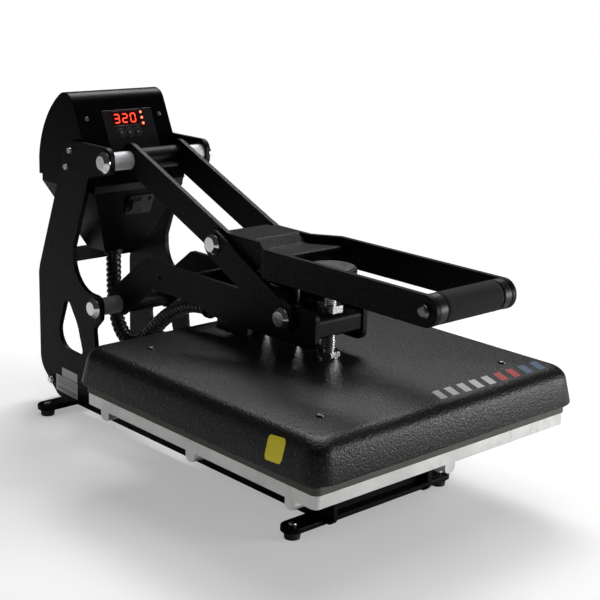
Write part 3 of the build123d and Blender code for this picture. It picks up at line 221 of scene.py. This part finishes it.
plastic("black_plastic", (0.008, 0.008, 0.009), 0.4, 0.00005, 800.0, Specular_IOR_Level=0.3)
plastic("foot_rubber", (0.016, 0.016, 0.016), 0.62, 0.0001, 420.0, 0.001)
plastic("face_film", (0.012, 0.010, 0.012), 0.22, 0.00003, 1100.0)
glow("lamp_red", (1.0, 0.12, 0.05), 4.0)
metal("disc_metal", (0.09, 0.09, 0.095), 0.40, 0.00004, 0.12)
plastic("wire_white", (0.6, 0.58, 0.52), 0.6, 0.00005, 700.0)

made = Mat(
    "foam", (0.007, 0.007, 0.007), 0.8, Sheen_Weight=0.04, Sheen_Roughness=0.4, Specular_IOR_Level=0.25,
)
pore_pit_shade = made.cells(1300.0)
# painted shade: the pits of the foam's pores darker than their walls
made.colour(pore_pit_shade, [(0.1, 0.004), (0.6, 0.011)])
keep(made.bump(pore_pit_shade, 0.00022).bump(made.noise(300.0, 3.0), 0.00015))

made = Mat("display_lens", (0.03, 0.0015, 0.0015), 0.12, Coat_Weight=0.5, Coat_Roughness=0.05)
made.colour(made.noise(80.0, 2.0), [(0.3, (0.022, 0.001, 0.001)), (0.7, (0.04, 0.002, 0.002))])
keep(made.bump(made.noise(700.0, 2.0), 0.00001))

made = Mat("board_green", (0.01, 0.11, 0.04), 0.35)
trace = made.cells(260.0, "DISTANCE_TO_EDGE")
made.colour(trace, [(0.03, (0.02, 0.2, 0.07)), (0.08, (0.008, 0.09, 0.035))])
keep(made.bump(trace, 0.00005))

made = Mat("mat_white", (0.75, 0.73, 0.67), 0.95, Sheen_Weight=0.2)
made.colour(made.noise(180.0, 5.0), [(0.3, (0.6, 0.58, 0.52)), (0.7, (0.8, 0.78, 0.73))])
keep(made.bump(made.noise(700.0, 5.0, (1, 1, 6)), 0.0004))

made = Mat("wrap_plastic", (0.012, 0.012, 0.013), 0.3).soft_edges(0.0004)
made.colour(made.noise(40.0, 3.0), [(0.3, 0.008), (0.7, 0.017)])
keep(made.roughness(made.noise(90.0, 3.0), 0.24, 0.36).bump(made.noise(650.0, 2.0), 0.00004))

# the cover's and the grip's screws share a slot with bright steel, but are dark in the photograph
metal("dark_steel", (0.20, 0.20, 0.205), 0.3, 0.00003, 0.2)
DARK_NODES = ("cover_screws", "grip_screws")
for entry in frame["record"]["subparts"]:
    node = nodes[entry["node"]]
    node.data.materials.clear()
    dark = entry["node"] in DARK_NODES
    node.data.materials.append(slots["dark_steel" if dark else entry["material_slot"]])


# ---- mesh helpers ------------------------------------------------------------
def piece(name, bm, material, body, smooth=True, replaces=()):
    """Turn a bmesh into an object of the scene, in the material of that name, riding on a body."""
    mesh = bpy.data.meshes.new(name)
    bmesh.ops.recalc_face_normals(bm, faces=bm.faces)
    bm.to_mesh(mesh)
    bm.free()
    obj = bpy.data.objects.new(name, mesh)
    bpy.context.collection.objects.link(obj)
    mesh.materials.append(slots[material])
    if smooth:
        for face in mesh.polygons:
            face.use_smooth = True
        obj.modifiers.new("edges", "EDGE_SPLIT").split_angle = math.radians(38)
    if replaces:
        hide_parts(*replaces)
    if body:
        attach(obj, body)
    return obj


def circle(centre, side, other, radius, steps):
    """Points of a circle in the plane of the unit vectors side and other."""
    angles = (2 * math.pi * k / steps for k in range(steps))
    return [centre + radius * (math.cos(a) * side + math.sin(a) * other) for a in angles]


def square_to(axis):
    """Two unit vectors square to an axis and to each other."""
    side = axis.orthogonal().normalized()
    return side, axis.cross(side)


def skin(bm, rings, loop=False, caps=True):
    """Quads between rings of points, ended by caps or, as a loop, joined to the first ring."""
    rows = [[bm.verts.new(p) for p in ring] for ring in rings]
    for first, second in list(zip(rows, rows[1:])) + ([(rows[-1], rows[0])] if loop else []):
        for k in range(len(first)):
            j = (k + 1) % len(first)
            bm.faces.new((first[k], first[j], second[j], second[k]))
    if caps and not loop:
        bm.faces.new(rows[0][::-1])
        bm.faces.new(rows[-1])
    return rows


def slab(bm, corners, inward, depth):
    """A slab from a flat outline of points, deepened along inward."""
    skin(bm, [corners, [p + inward * depth for p in corners]])


def tube_along(bm, points, radius, steps, closed=False):
    """A round tube along points, capped at its ends unless closed."""
    count = len(points)
    rings = []
    side = None
    for i, point in enumerate(points):
        before = points[i - 1] if closed or i else point
        after = points[(i + 1) % count] if closed or i < count - 1 else point
        ahead = (after - before).normalized()
        side = (ahead.orthogonal() if side is None else side - ahead * side.dot(ahead)).normalized()
        rings.append(circle(point, side, ahead.cross(side), radius, steps))
    skin(bm, rings, loop=closed)


# ---- heater lead in its spiral wrap -------------------------------------------
LEAD_ROUTE = [
    (0.412, 0.1985), (0.412, 0.160), (0.410, 0.120), (0.394, 0.091), (0.366, 0.082),
    (0.338, 0.098), (0.303, 0.132), (0.277, 0.149), (0.240, 0.168), (0.208, 0.168),
]
SLEEVE_RADIUS, SLEEVE_SIDES, SLEEVE_STATIONS = 0.0086, 20, 150
BAND_PITCH, BAND_MARGIN, BAND_STEPS = 0.0073, 0.004, 24
# the band's section: distance along the lead, distance from its middle
BAND_SECTION = [
    (-0.0026, 0.0080), (-0.0024, 0.0096), (-0.0010, 0.01005),
    (0.0010, 0.01005), (0.0024, 0.0096), (0.0026, 0.0080),
]

curve = bpy.data.curves.new("lead_line", "CURVE")
curve.dimensions = "3D"
curve.resolution_u = 40
spline = curve.splines.new("NURBS")
spline.points.add(len(LEAD_ROUTE) - 1)
for point, (reach, z) in zip(spline.points, LEAD_ROUTE):
    point.co = (*place(reach, 0, z), 1)
spline.order_u = 3
spline.use_endpoint_u = True
line_object = bpy.data.objects.new("lead_line", curve)
line_mesh = bpy.data.meshes.new_from_object(line_object)
lead_line = [v.co.copy() for v in line_mesh.vertices]
bpy.data.objects.remove(line_object)
bpy.data.meshes.remove(line_mesh)
bpy.data.curves.remove(curve)

distances = [0.0]
for first, second in zip(lead_line, lead_line[1:]):
    distances.append(distances[-1] + (second - first).length)
lead_length = distances[-1]


def lead_at(distance):
    """Point and smoothed direction on the lead's line."""
    distance = min(max(distance, 0.0), lead_length)
    i = 0
    while i < len(distances) - 2 and distances[i + 1] < distance:
        i += 1
    share = (distance - distances[i]) / (distances[i + 1] - distances[i])
    ahead = (lead_line[i + 1] - lead_line[i]).normalized()
    if 0 < i < len(distances) - 2:
        behind = (lead_line[i] - lead_line[i - 1]).normalized()
        beyond = (lead_line[i + 2] - lead_line[i + 1]).normalized()
        enter = behind.lerp(ahead, 0.5).normalized()
        leave = ahead.lerp(beyond, 0.5).normalized()
        ahead = enter.lerp(leave, share).normalized()
    return lead_line[i].lerp(lead_line[i + 1], share), ahead


def wrapped_lead():
    """The wires' sleeve, and over it the band of the wrap, wound as a helix."""
    bm = bmesh.new()
    rings = []
    for s in range(SLEEVE_STATIONS + 1):
        at, ahead = lead_at(lead_length * s / SLEEVE_STATIONS)
        rings.append(circle(at, X_AXIS, ahead.cross(X_AXIS), SLEEVE_RADIUS, SLEEVE_SIDES))
    skin(bm, rings)
    span = lead_length - 2 * BAND_MARGIN
    turns = span / BAND_PITCH
    count = int(turns * BAND_STEPS)
    rings = []
    for s in range(count + 1):
        distance = BAND_MARGIN + span * s / count
        angle = 2 * math.pi * turns * s / count
        ring = []
        for shift, radius in BAND_SECTION:
            at, ahead = lead_at(distance + shift)
            ring.append(at + radius * (math.cos(angle) * X_AXIS + math.sin(angle) * ahead.cross(X_AXIS)))
        rings.append(ring)
    skin(bm, rings)
    return bm


lead = piece("spiral_lead", wrapped_lead(), "wrap_plastic", None, replaces=("heater_lead",))
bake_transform(lead)


# ---- foam grip -------------------------------------------------------------------
GRIP_BORE, GRIP_SIDES = 0.0096, 48
GRIP_END = [(0.0, 0.004), (0.0008, 0.0015), (0.003, 0.0002)]  # distance from the end, drop in radius
WAVE_COUNT, WAVE_MARGIN, WAVE_DROP, WAVE_HEIGHT = 40, 0.006, 0.00025, 0.00005

low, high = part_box("grip_sleeve")
middle = (Vector(low) + Vector(high)) / 2
half = (high[0] - low[0]) / 2
radius = (high[2] - low[2]) / 2
end = [(half, GRIP_BORE)] + [(half - inset, radius - drop) for inset, drop in GRIP_END]
waves = [
    ((-1 + 2 * k / WAVE_COUNT) * (half - WAVE_MARGIN),
     radius - WAVE_DROP + WAVE_HEIGHT * math.sin(k * 1.7) * math.sin(k * 0.45))
    for k in range(WAVE_COUNT + 1)
]
side, other = square_to(X_AXIS)
bm = bmesh.new()
skin(bm, [
    circle(middle + X_AXIS * x, side, other, r, GRIP_SIDES)
    for x, r in [(-x, r) for x, r in end] + waves + end[::-1]
], caps=False)
piece("foam_grip", bm, "foam", "handle", replaces=("grip_sleeve",))


# ---- reading and marks on the sloped face of the control box ----------------------
BOX_FRONT, BOX_BOTTOM = 0.350, 0.303
BOX_APEX_REACH, BOX_APEX_Z = 0.406, 0.422
BOX_SLOPE = math.atan2(BOX_APEX_REACH - BOX_FRONT, BOX_APEX_Z - BOX_BOTTOM)
PRINT_DEPTH = 0.0003
up_face = Vector((0, math.sin(BOX_SLOPE), math.cos(BOX_SLOPE)))
in_face = Vector((0, math.cos(BOX_SLOPE), -math.sin(BOX_SLOPE)))
face_origin = place(BOX_FRONT, 0, BOX_BOTTOM)


def on_face(x, s, proud):
    """A point across and up the sloped face, this far in front of it."""
    return face_origin + Vector((x, 0, 0)) + up_face * s - in_face * proud


SEGMENTS = {"3": "abgcd", "2": "abged", "0": "abcdef"}
GLYPH_WIDTH, GLYPH_HEIGHT, STROKE, STROKE_GAP = 0.0086, 0.0125, 0.0015, 0.0003
DIGIT_FIRST, DIGIT_PITCH, DIGIT_UP, DIGIT_LEAN, DIGIT_PROUD = -0.0118, 0.0125, 0.0853, 0.08, 0.00125


def segment(letter):
    """Corners of one segment, about the middle of its digit."""
    w, h, t, gap = GLYPH_WIDTH / 2, GLYPH_HEIGHT / 2, STROKE / 2, STROKE_GAP
    flat = {"a": h - t, "g": 0.0, "d": -h + t}
    if letter in flat:
        y = flat[letter]
        tip, shoulder = w - t - gap, w - 2 * t - gap
        return [
            (-tip, y), (-shoulder, y + t), (shoulder, y + t),
            (tip, y), (shoulder, y - t), (-shoulder, y - t),
        ]
    x = w - t if letter in "bc" else -w + t
    low, high = (gap, h - t - gap) if letter in "bf" else (-h + t + gap, -gap)
    return [(x, low), (x - t, low + t), (x - t, high - t), (x, high), (x + t, high - t), (x + t, low + t)]


bm = bmesh.new()
for i, digit in enumerate("320"):
    middle_x = DIGIT_FIRST + i * DIGIT_PITCH
    for letter in SEGMENTS[digit]:
        slab(bm, [
            on_face(middle_x + x + y * DIGIT_LEAN, DIGIT_UP + y, DIGIT_PROUD) for x, y in segment(letter)
        ], in_face, PRINT_DEPTH)
glow("reading_glow", (1.0, 0.05, 0.02), 2.6)
piece("display_reading", bm, "reading_glow", "root", smooth=False)

BUTTONS = (("button_one", -0.0104, "down"), ("button_two", 0.0025, "square"), ("button_three", 0.0154, "up"))
BUTTON_UP, BUTTON_RING, RING_WIRE, LINE_PROUD, MARK_PROUD = 0.0665, 0.0060, 0.0002, 0.0011, 0.00212
MARKS = {
    "down": [(-0.002, 0.0012), (0.002, 0.0012), (0.0, -0.002)],
    "square": [(-0.0015, -0.0015), (0.0015, -0.0015), (0.0015, 0.0015), (-0.0015, 0.0015)],
    "up": [(-0.002, -0.0012), (0.002, -0.0012), (0.0, 0.002)],
}
BEZEL_X, BEZEL_UP, BEZEL_WIRE = (-0.0205, 0.0225), (0.0750, 0.0956), 0.00022

plastic("face_ink", (0.13, 0.125, 0.125), 0.5, 0.00002, 900.0, 0.0002)
bm = bmesh.new()
for _, x, _ in BUTTONS:
    outline = circle(on_face(x, BUTTON_UP, LINE_PROUD), X_AXIS, up_face, BUTTON_RING, 36)
    tube_along(bm, outline, RING_WIRE, 6, closed=True)
piece("button_outlines", bm, "face_ink", "root")
bm = bmesh.new()
for line in (
    *([(x, up_at) for x in BEZEL_X] for up_at in BEZEL_UP),
    *([(x, up_at) for up_at in BEZEL_UP] for x in BEZEL_X),
):
    tube_along(bm, [on_face(x, up_at, LINE_PROUD) for x, up_at in line], BEZEL_WIRE, 6)
piece("display_bezel", bm, "black_plastic", "root")
for body, x, mark in BUTTONS:
    bm = bmesh.new()
    slab(bm, [on_face(x + a, BUTTON_UP + b, MARK_PROUD) for a, b in MARKS[mark]], in_face, PRINT_DEPTH)
    piece(f"{body}_mark", bm, "face_ink", body, smooth=False)


# ---- blank labels on the left side plate ----------------------------------------------
LABEL_X, RULE_X = -0.07655, -0.07662
LABELS = (
    [(0.3860, 0.0500), (0.4225, 0.0510), (0.4225, 0.0390), (0.3860, 0.0380)],
    [(0.3860, 0.0368), (0.4370, 0.0385), (0.4375, 0.0165), (0.3860, 0.0145)],
)
RULE = [(0.390, 0), (0.432, 0.0012), (0.432, 0.0020), (0.390, 0.0008)]
RULE_HEIGHTS = (0.0335, 0.0305, 0.0275, 0.0215, 0.0190)

plastic("label_white", (0.62, 0.62, 0.61), 0.45, 0.00002, 500.0, 0.0002)
plastic("label_line", (0.12, 0.12, 0.12), 0.6, 0.00002, 500.0, 0.0002)
bm = bmesh.new()
for outline in LABELS:
    slab(bm, [place(reach, LABEL_X, z) for reach, z in outline], X_AXIS, 0.00012)
piece("plate_labels", bm, "label_white", "root", smooth=False)
bm = bmesh.new()
for rule_z in RULE_HEIGHTS:
    slab(bm, [place(reach, RULE_X, rule_z + z) for reach, z in RULE], X_AXIS, 0.00008)
piece("label_rules", bm, "label_line", "root", smooth=False)


# ---- cover of the heat platen, with the photograph's steep sides and round upper edge -----
COVER_HALF, COVER_CORNER, COVER_WALL, COVER_LEAN = 0.2015, 0.024, 0.002, 0.005
COVER_LIP, COVER_EDGE, MOUTH_GAP, LEAST_CORNER = 0.004, 0.017, 0.002, 0.006
CORNER_STEPS, LIP_STEPS, EDGE_STEPS = 12, 5, 10


def rounded_square(half, corner, z):
    """Points of a rounded square about the platens' centre, anticlockwise."""
    points = []
    for quarter, (x_sign, y_sign) in enumerate(((1, 1), (-1, 1), (-1, -1), (1, -1))):
        for k in range(CORNER_STEPS + 1):
            a = (quarter + k / CORNER_STEPS) * math.pi / 2
            x = (half - corner) * x_sign + corner * math.cos(a)
            y = (half - corner) * y_sign + corner * math.sin(a)
            points.append(place(y, x, z))
    return points


def cover_profile(half, low, high, lip, edge):
    """Half sizes and heights from the foot of the side, over its round edge, to the flat top."""
    tilt = math.atan2(COVER_LEAN, high - low)
    turn = math.pi / 2 - tilt
    foot = [turn * k / LIP_STEPS for k in range(LIP_STEPS + 1)]
    head = [tilt + turn * k / EDGE_STEPS for k in range(EDGE_STEPS + 1)]
    side = half - COVER_LEAN
    return (
        [(half - lip + lip * math.sin(a), low + lip - lip * math.cos(a)) for a in foot]
        + [(side - edge + edge * math.cos(a), high - edge + edge * math.sin(a)) for a in head]
    )


low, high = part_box("platen_cover")
plate_low, plate_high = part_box("heat_platen")
mouth = (plate_high[0] - plate_low[0]) / 2 + MOUTH_GAP
foot_z, top_z = low[2], high[2]
outer = cover_profile(COVER_HALF, foot_z, top_z, COVER_LIP, COVER_EDGE)
inner = cover_profile(
    COVER_HALF - COVER_WALL, foot_z + COVER_WALL, top_z - COVER_WALL,
    COVER_LIP - COVER_WALL, COVER_EDGE - COVER_WALL,
)
bm = bmesh.new()
rows = skin(bm, [
    rounded_square(half, max(COVER_CORNER - (COVER_HALF - half) * 0.5, LEAST_CORNER), z)
    for half, z in inner[::-1] + [(mouth, foot_z + COVER_WALL), (mouth, foot_z)] + outer
], caps=False)
for row in (rows[0], rows[-1]):
    hub = bm.verts.new(place(0, 0, row[0].co.z))
    for k in range(len(row)):
        bm.faces.new((row[k], row[(k + 1) % len(row)], hub))
pressed_cover = piece("pressed_cover", bm, "cover_paint", "platen", replaces=("platen_cover",))


# ---- decals laid on the cover, placed by the photograph's pixels ------------------------
DECAL_PROUD, DECAL_DEPTH = 0.00012, 0.00005
cover_tree = BVHTree.FromPolygons(
    [v.co for v in pressed_cover.data.vertices], [p.vertices for p in pressed_cover.data.polygons],
)


def on_cover(pixel):
    """Where the camera's ray through a pixel meets the cover, and the normal there."""
    across, down = ((value - PHOTO_PIXELS / 2) / PHOTO_PIXELS * CAMERA_SENSOR for value in pixel)
    ray = camera.matrix_world.to_3x3() @ Vector((across, -down, -CAMERA_LENS))
    point, normal, _, _ = cover_tree.ray_cast(camera.matrix_world.translation, ray.normalized())
    return point, normal


def corner_inset(s, rounding):
    """How far the ends of a column at share s are drawn in, to round the decal's corners."""
    past = max(0.0, abs(2 * s - 1) - (1 - 2 * rounding)) / (2 * rounding)
    return rounding * (1 - math.sqrt(max(0.0, 1 - past ** 2)))


def quad_point(quad, s, t):
    return quad[0].lerp(quad[1], s).lerp(quad[3].lerp(quad[2], s), t)


def decal(name, corners, material, across, along, rounding=0.0):
    """A thin film on the cover, inside four pixels, laid on its surface."""
    bm = bmesh.new()
    quad = [Vector(c) for c in corners]
    top, low = [], []
    for i in range(across + 1):
        s = i / across
        inset = corner_inset(s, rounding) if rounding else 0.0
        shares = (inset + (1 - 2 * inset) * j / along for j in range(along + 1))
        hits = [on_cover(quad_point(quad, s, t)) for t in shares]
        top.append([bm.verts.new(point + normal * DECAL_PROUD) for point, normal in hits])
        low.append([bm.verts.new(point - normal * DECAL_DEPTH) for point, normal in hits])
    for i in range(across):
        for j in range(along):
            bm.faces.new((top[i][j], top[i + 1][j], top[i + 1][j + 1], top[i][j + 1]))
            bm.faces.new((low[i][j], low[i][j + 1], low[i + 1][j + 1], low[i + 1][j]))
    for j in range(along):
        bm.faces.new((top[0][j], top[0][j + 1], low[0][j + 1], low[0][j]))
        bm.faces.new((top[-1][j + 1], top[-1][j], low[-1][j], low[-1][j + 1]))
    for i in range(across):
        bm.faces.new((top[i + 1][0], top[i][0], low[i][0], low[i + 1][0]))
        bm.faces.new((top[i][-1], top[i + 1][-1], low[i + 1][-1], low[i][-1]))
    piece(name, bm, material, "platen")


STICKER = [(269.1, 433.6), (286.7, 438.9), (280.6, 465.0), (263.7, 458.8)]
STRIP = [Vector(c) for c in ((417.9, 392.6), (534.3, 358.2), (561.0, 366.7), (444.5, 401.7))]
STRIPE_FIRST, STRIPE_PITCH, STRIPE_WIDTH, STRIPE_LEAN, STRIPE_ENDS = 0.02, 0.105, 0.055, 0.05, (0.2, 0.8)

plastic("label_yellow", (0.98, 0.82, 0.02), 0.4, 0.00002, 500.0, 0.0002)
decal("plain_sticker", STICKER, "label_yellow", 16, 16, rounding=0.16)
STRIPE_PAINTS = {"white": (0.55, 0.55, 0.56), "red": (0.45, 0.02, 0.02), "blue": (0.05, 0.11, 0.20)}
for name, color in STRIPE_PAINTS.items():
    plastic(f"stripe_{name}", color, 0.45, 0.0001, 600.0, 0.0002)
for n, paint in enumerate(["white"] * 5 + ["red"] * 2 + ["blue"] * 2):
    s0 = STRIPE_FIRST + n * STRIPE_PITCH
    s1 = s0 + STRIPE_WIDTH
    t0, t1 = STRIPE_ENDS
    places = ((s0 + STRIPE_LEAN, t0), (s1 + STRIPE_LEAN, t0), (s1, t1), (s0, t1))
    decal(f"stripe_{n}", [quad_point(STRIP, s, t) for s, t in places], f"stripe_{paint}", 6, 4)


# ---- thread of the pressure screw ----------------------------------------------------------
SCREW_REACH, SCREW_RADIUS = -0.004, 0.008
THREAD_LOW, THREAD_HIGH, THREAD_PITCH, THREAD_STEPS = 0.1685, 0.2378, 0.002, 28
THREAD_DEPTH, THREAD_ROOT = 0.00035, 0.0002
# the thread's section: share of the pitch, distance outside the shaft
THREAD_SECTION = ((0.05, -THREAD_ROOT), (0.45, THREAD_DEPTH), (0.55, THREAD_DEPTH), (0.95, -THREAD_ROOT))

bm = bmesh.new()
rings = []
for k in range(int((THREAD_HIGH - THREAD_LOW - THREAD_PITCH) / THREAD_PITCH * THREAD_STEPS) + 1):
    angle = 2 * math.pi * k / THREAD_STEPS
    z = THREAD_LOW + THREAD_PITCH * k / THREAD_STEPS
    rings.append([
        place(SCREW_REACH + r * math.sin(angle), r * math.cos(angle), z + share * THREAD_PITCH)
        for share, r in ((share, SCREW_RADIUS + out) for share, out in THREAD_SECTION)
    ])
skin(bm, rings)
piece("screw_thread", bm, "zinc_steel", "screw")


# ---- weld beads where the tubes meet their plates -----------------------------------
BEAD_X, BEAD_RING, BEAD_RADIUS, BEAD_WAVE = (-0.0331, 0.0331), 0.0137, 0.0011, 0.0002
side, other = square_to(X_AXIS)
for body, reach, z in (("arm", 0.3445, 0.1498), ("handle", 0.319, 0.339)):
    bm = bmesh.new()
    for x in BEAD_X:
        seam = circle(place(reach, x, z), side, other, BEAD_RING, 60)
        wavy = [p + X_AXIS * (BEAD_WAVE * math.sin(9 * k)) for k, p in enumerate(seam)]
        tube_along(bm, wavy, BEAD_RADIUS, 8, closed=True)
    piece(f"{body}_weld_beads", bm, "frame_paint", body)


# ---- floor: takes shadows near the press, and fades into the white backdrop ----------------
FLOOR_HALF, FLOOR_Z = 6, -0.0002
FADE_START, FADE_END, FLOOR_GLARE = 0.55, 1.0, 0.34

floor_mesh = bpy.data.meshes.new("floor")
corners = ((-1, -1), (1, -1), (1, 1), (-1, 1))
floor_mesh.from_pydata([(x * FLOOR_HALF, y * FLOOR_HALF, FLOOR_Z) for x, y in corners], [], [(0, 1, 2, 3)])
floor = bpy.data.objects.new("floor", floor_mesh)
bpy.context.collection.objects.link(floor)
ground = Mat("floor", (0.86, 0.86, 0.86), 0.7, Specular_IOR_Level=0.2)
glare = ground.node("ShaderNodeEmission", Strength=FLOOR_GLARE)
backdrop = ground.node("ShaderNodeEmission")
paths = ground.node("ShaderNodeLightPath")
away = ground.node("ShaderNodeVectorMath", operation="LENGTH")
fade = ground.node(
    "ShaderNodeMapRange", interpolation_type="SMOOTHSTEP", From_Min=FADE_START, From_Max=FADE_END,
)
lit = ground.node("ShaderNodeAddShader")
faded = ground.node("ShaderNodeMixShader")
seen = ground.node("ShaderNodeMixShader")
for out, socket in (
    (ground.place, away.inputs[0]),
    (away.outputs["Value"], fade.inputs["Value"]),
    (ground.shader.outputs[0], lit.inputs[0]),
    (glare.outputs[0], lit.inputs[1]),
    (fade.outputs["Result"], faded.inputs["Fac"]),
    (lit.outputs[0], faded.inputs[1]),
    (backdrop.outputs[0], faded.inputs[2]),
    (paths.outputs["Is Camera Ray"], seen.inputs["Fac"]),
    (ground.shader.outputs[0], seen.inputs[1]),
    (faded.outputs[0], seen.inputs[2]),
    (seen.outputs[0], ground.tree.nodes["Material Output"].inputs["Surface"]),
):
    ground.link(out, socket)
floor_mesh.materials.append(ground.mat)


# ---- world: white to the camera and through clear pieces, dim as a light, dimmer in reflections ----
WORLD_LEVEL = 0.10
# the glossy share is taken away, so metal and paint don't show the white; that keeps the blacks dark
WORLD_SHARES = (("Is Glossy Ray", -0.07), ("Is Transmission Ray", 0.9), ("Is Camera Ray", 0.9))

world = bpy.data.worlds.new("studio")
bpy.context.scene.world = world
world.use_nodes = True
tree = world.node_tree
background = tree.nodes["Background"]
background.inputs["Color"].default_value = (1, 1, 1, 1)
paths = tree.nodes.new("ShaderNodeLightPath")
strength = None
for ray, share in WORLD_SHARES:
    total = tree.nodes.new("ShaderNodeMath")
    total.operation = "MULTIPLY_ADD"
    total.use_clamp = True
    total.inputs[1].default_value = share
    total.inputs[2].default_value = WORLD_LEVEL
    tree.links.new(paths.outputs[ray], total.inputs[0])
    if strength is not None:
        tree.links.new(strength, total.inputs[2])
    strength = total.outputs[0]
tree.links.new(strength, background.inputs["Strength"])


# ---- lamps: place, what it faces, width and height, watts --------------------------------------
LAMPS = {
    "back_softbox": ((1.5, 1.2, 2.5), (0, 0, 0.15), (1.5, 1.0), 52),
    "top_softbox": ((0.4, -0.2, 2.4), (0, 0, 0.1), (1.6, 1.6), 13),
    "left_softbox": ((-2.3, 0.9, 1.3), (0, 0, 0.2), (1.0, 1.2), 3.5),
    "front_fill": ((1.7, -1.9, 0.34), (0, 0, 0.12), (1.3, 0.6), 33),
}
for name, (at, target, size, power) in LAMPS.items():
    data = bpy.data.lights.new(name, "AREA")
    data.shape = "RECTANGLE"
    data.size, data.size_y = size
    data.energy = power
    obj = bpy.data.objects.new(name, data)
    obj.location = at
    obj.rotation_euler = (Vector(at) - Vector(target)).to_track_quat("Z", "Y").to_euler()
    bpy.context.collection.objects.link(obj)

bpy.context.scene.view_settings.view_transform = "Standard"
bpy.context.view_layer.update()
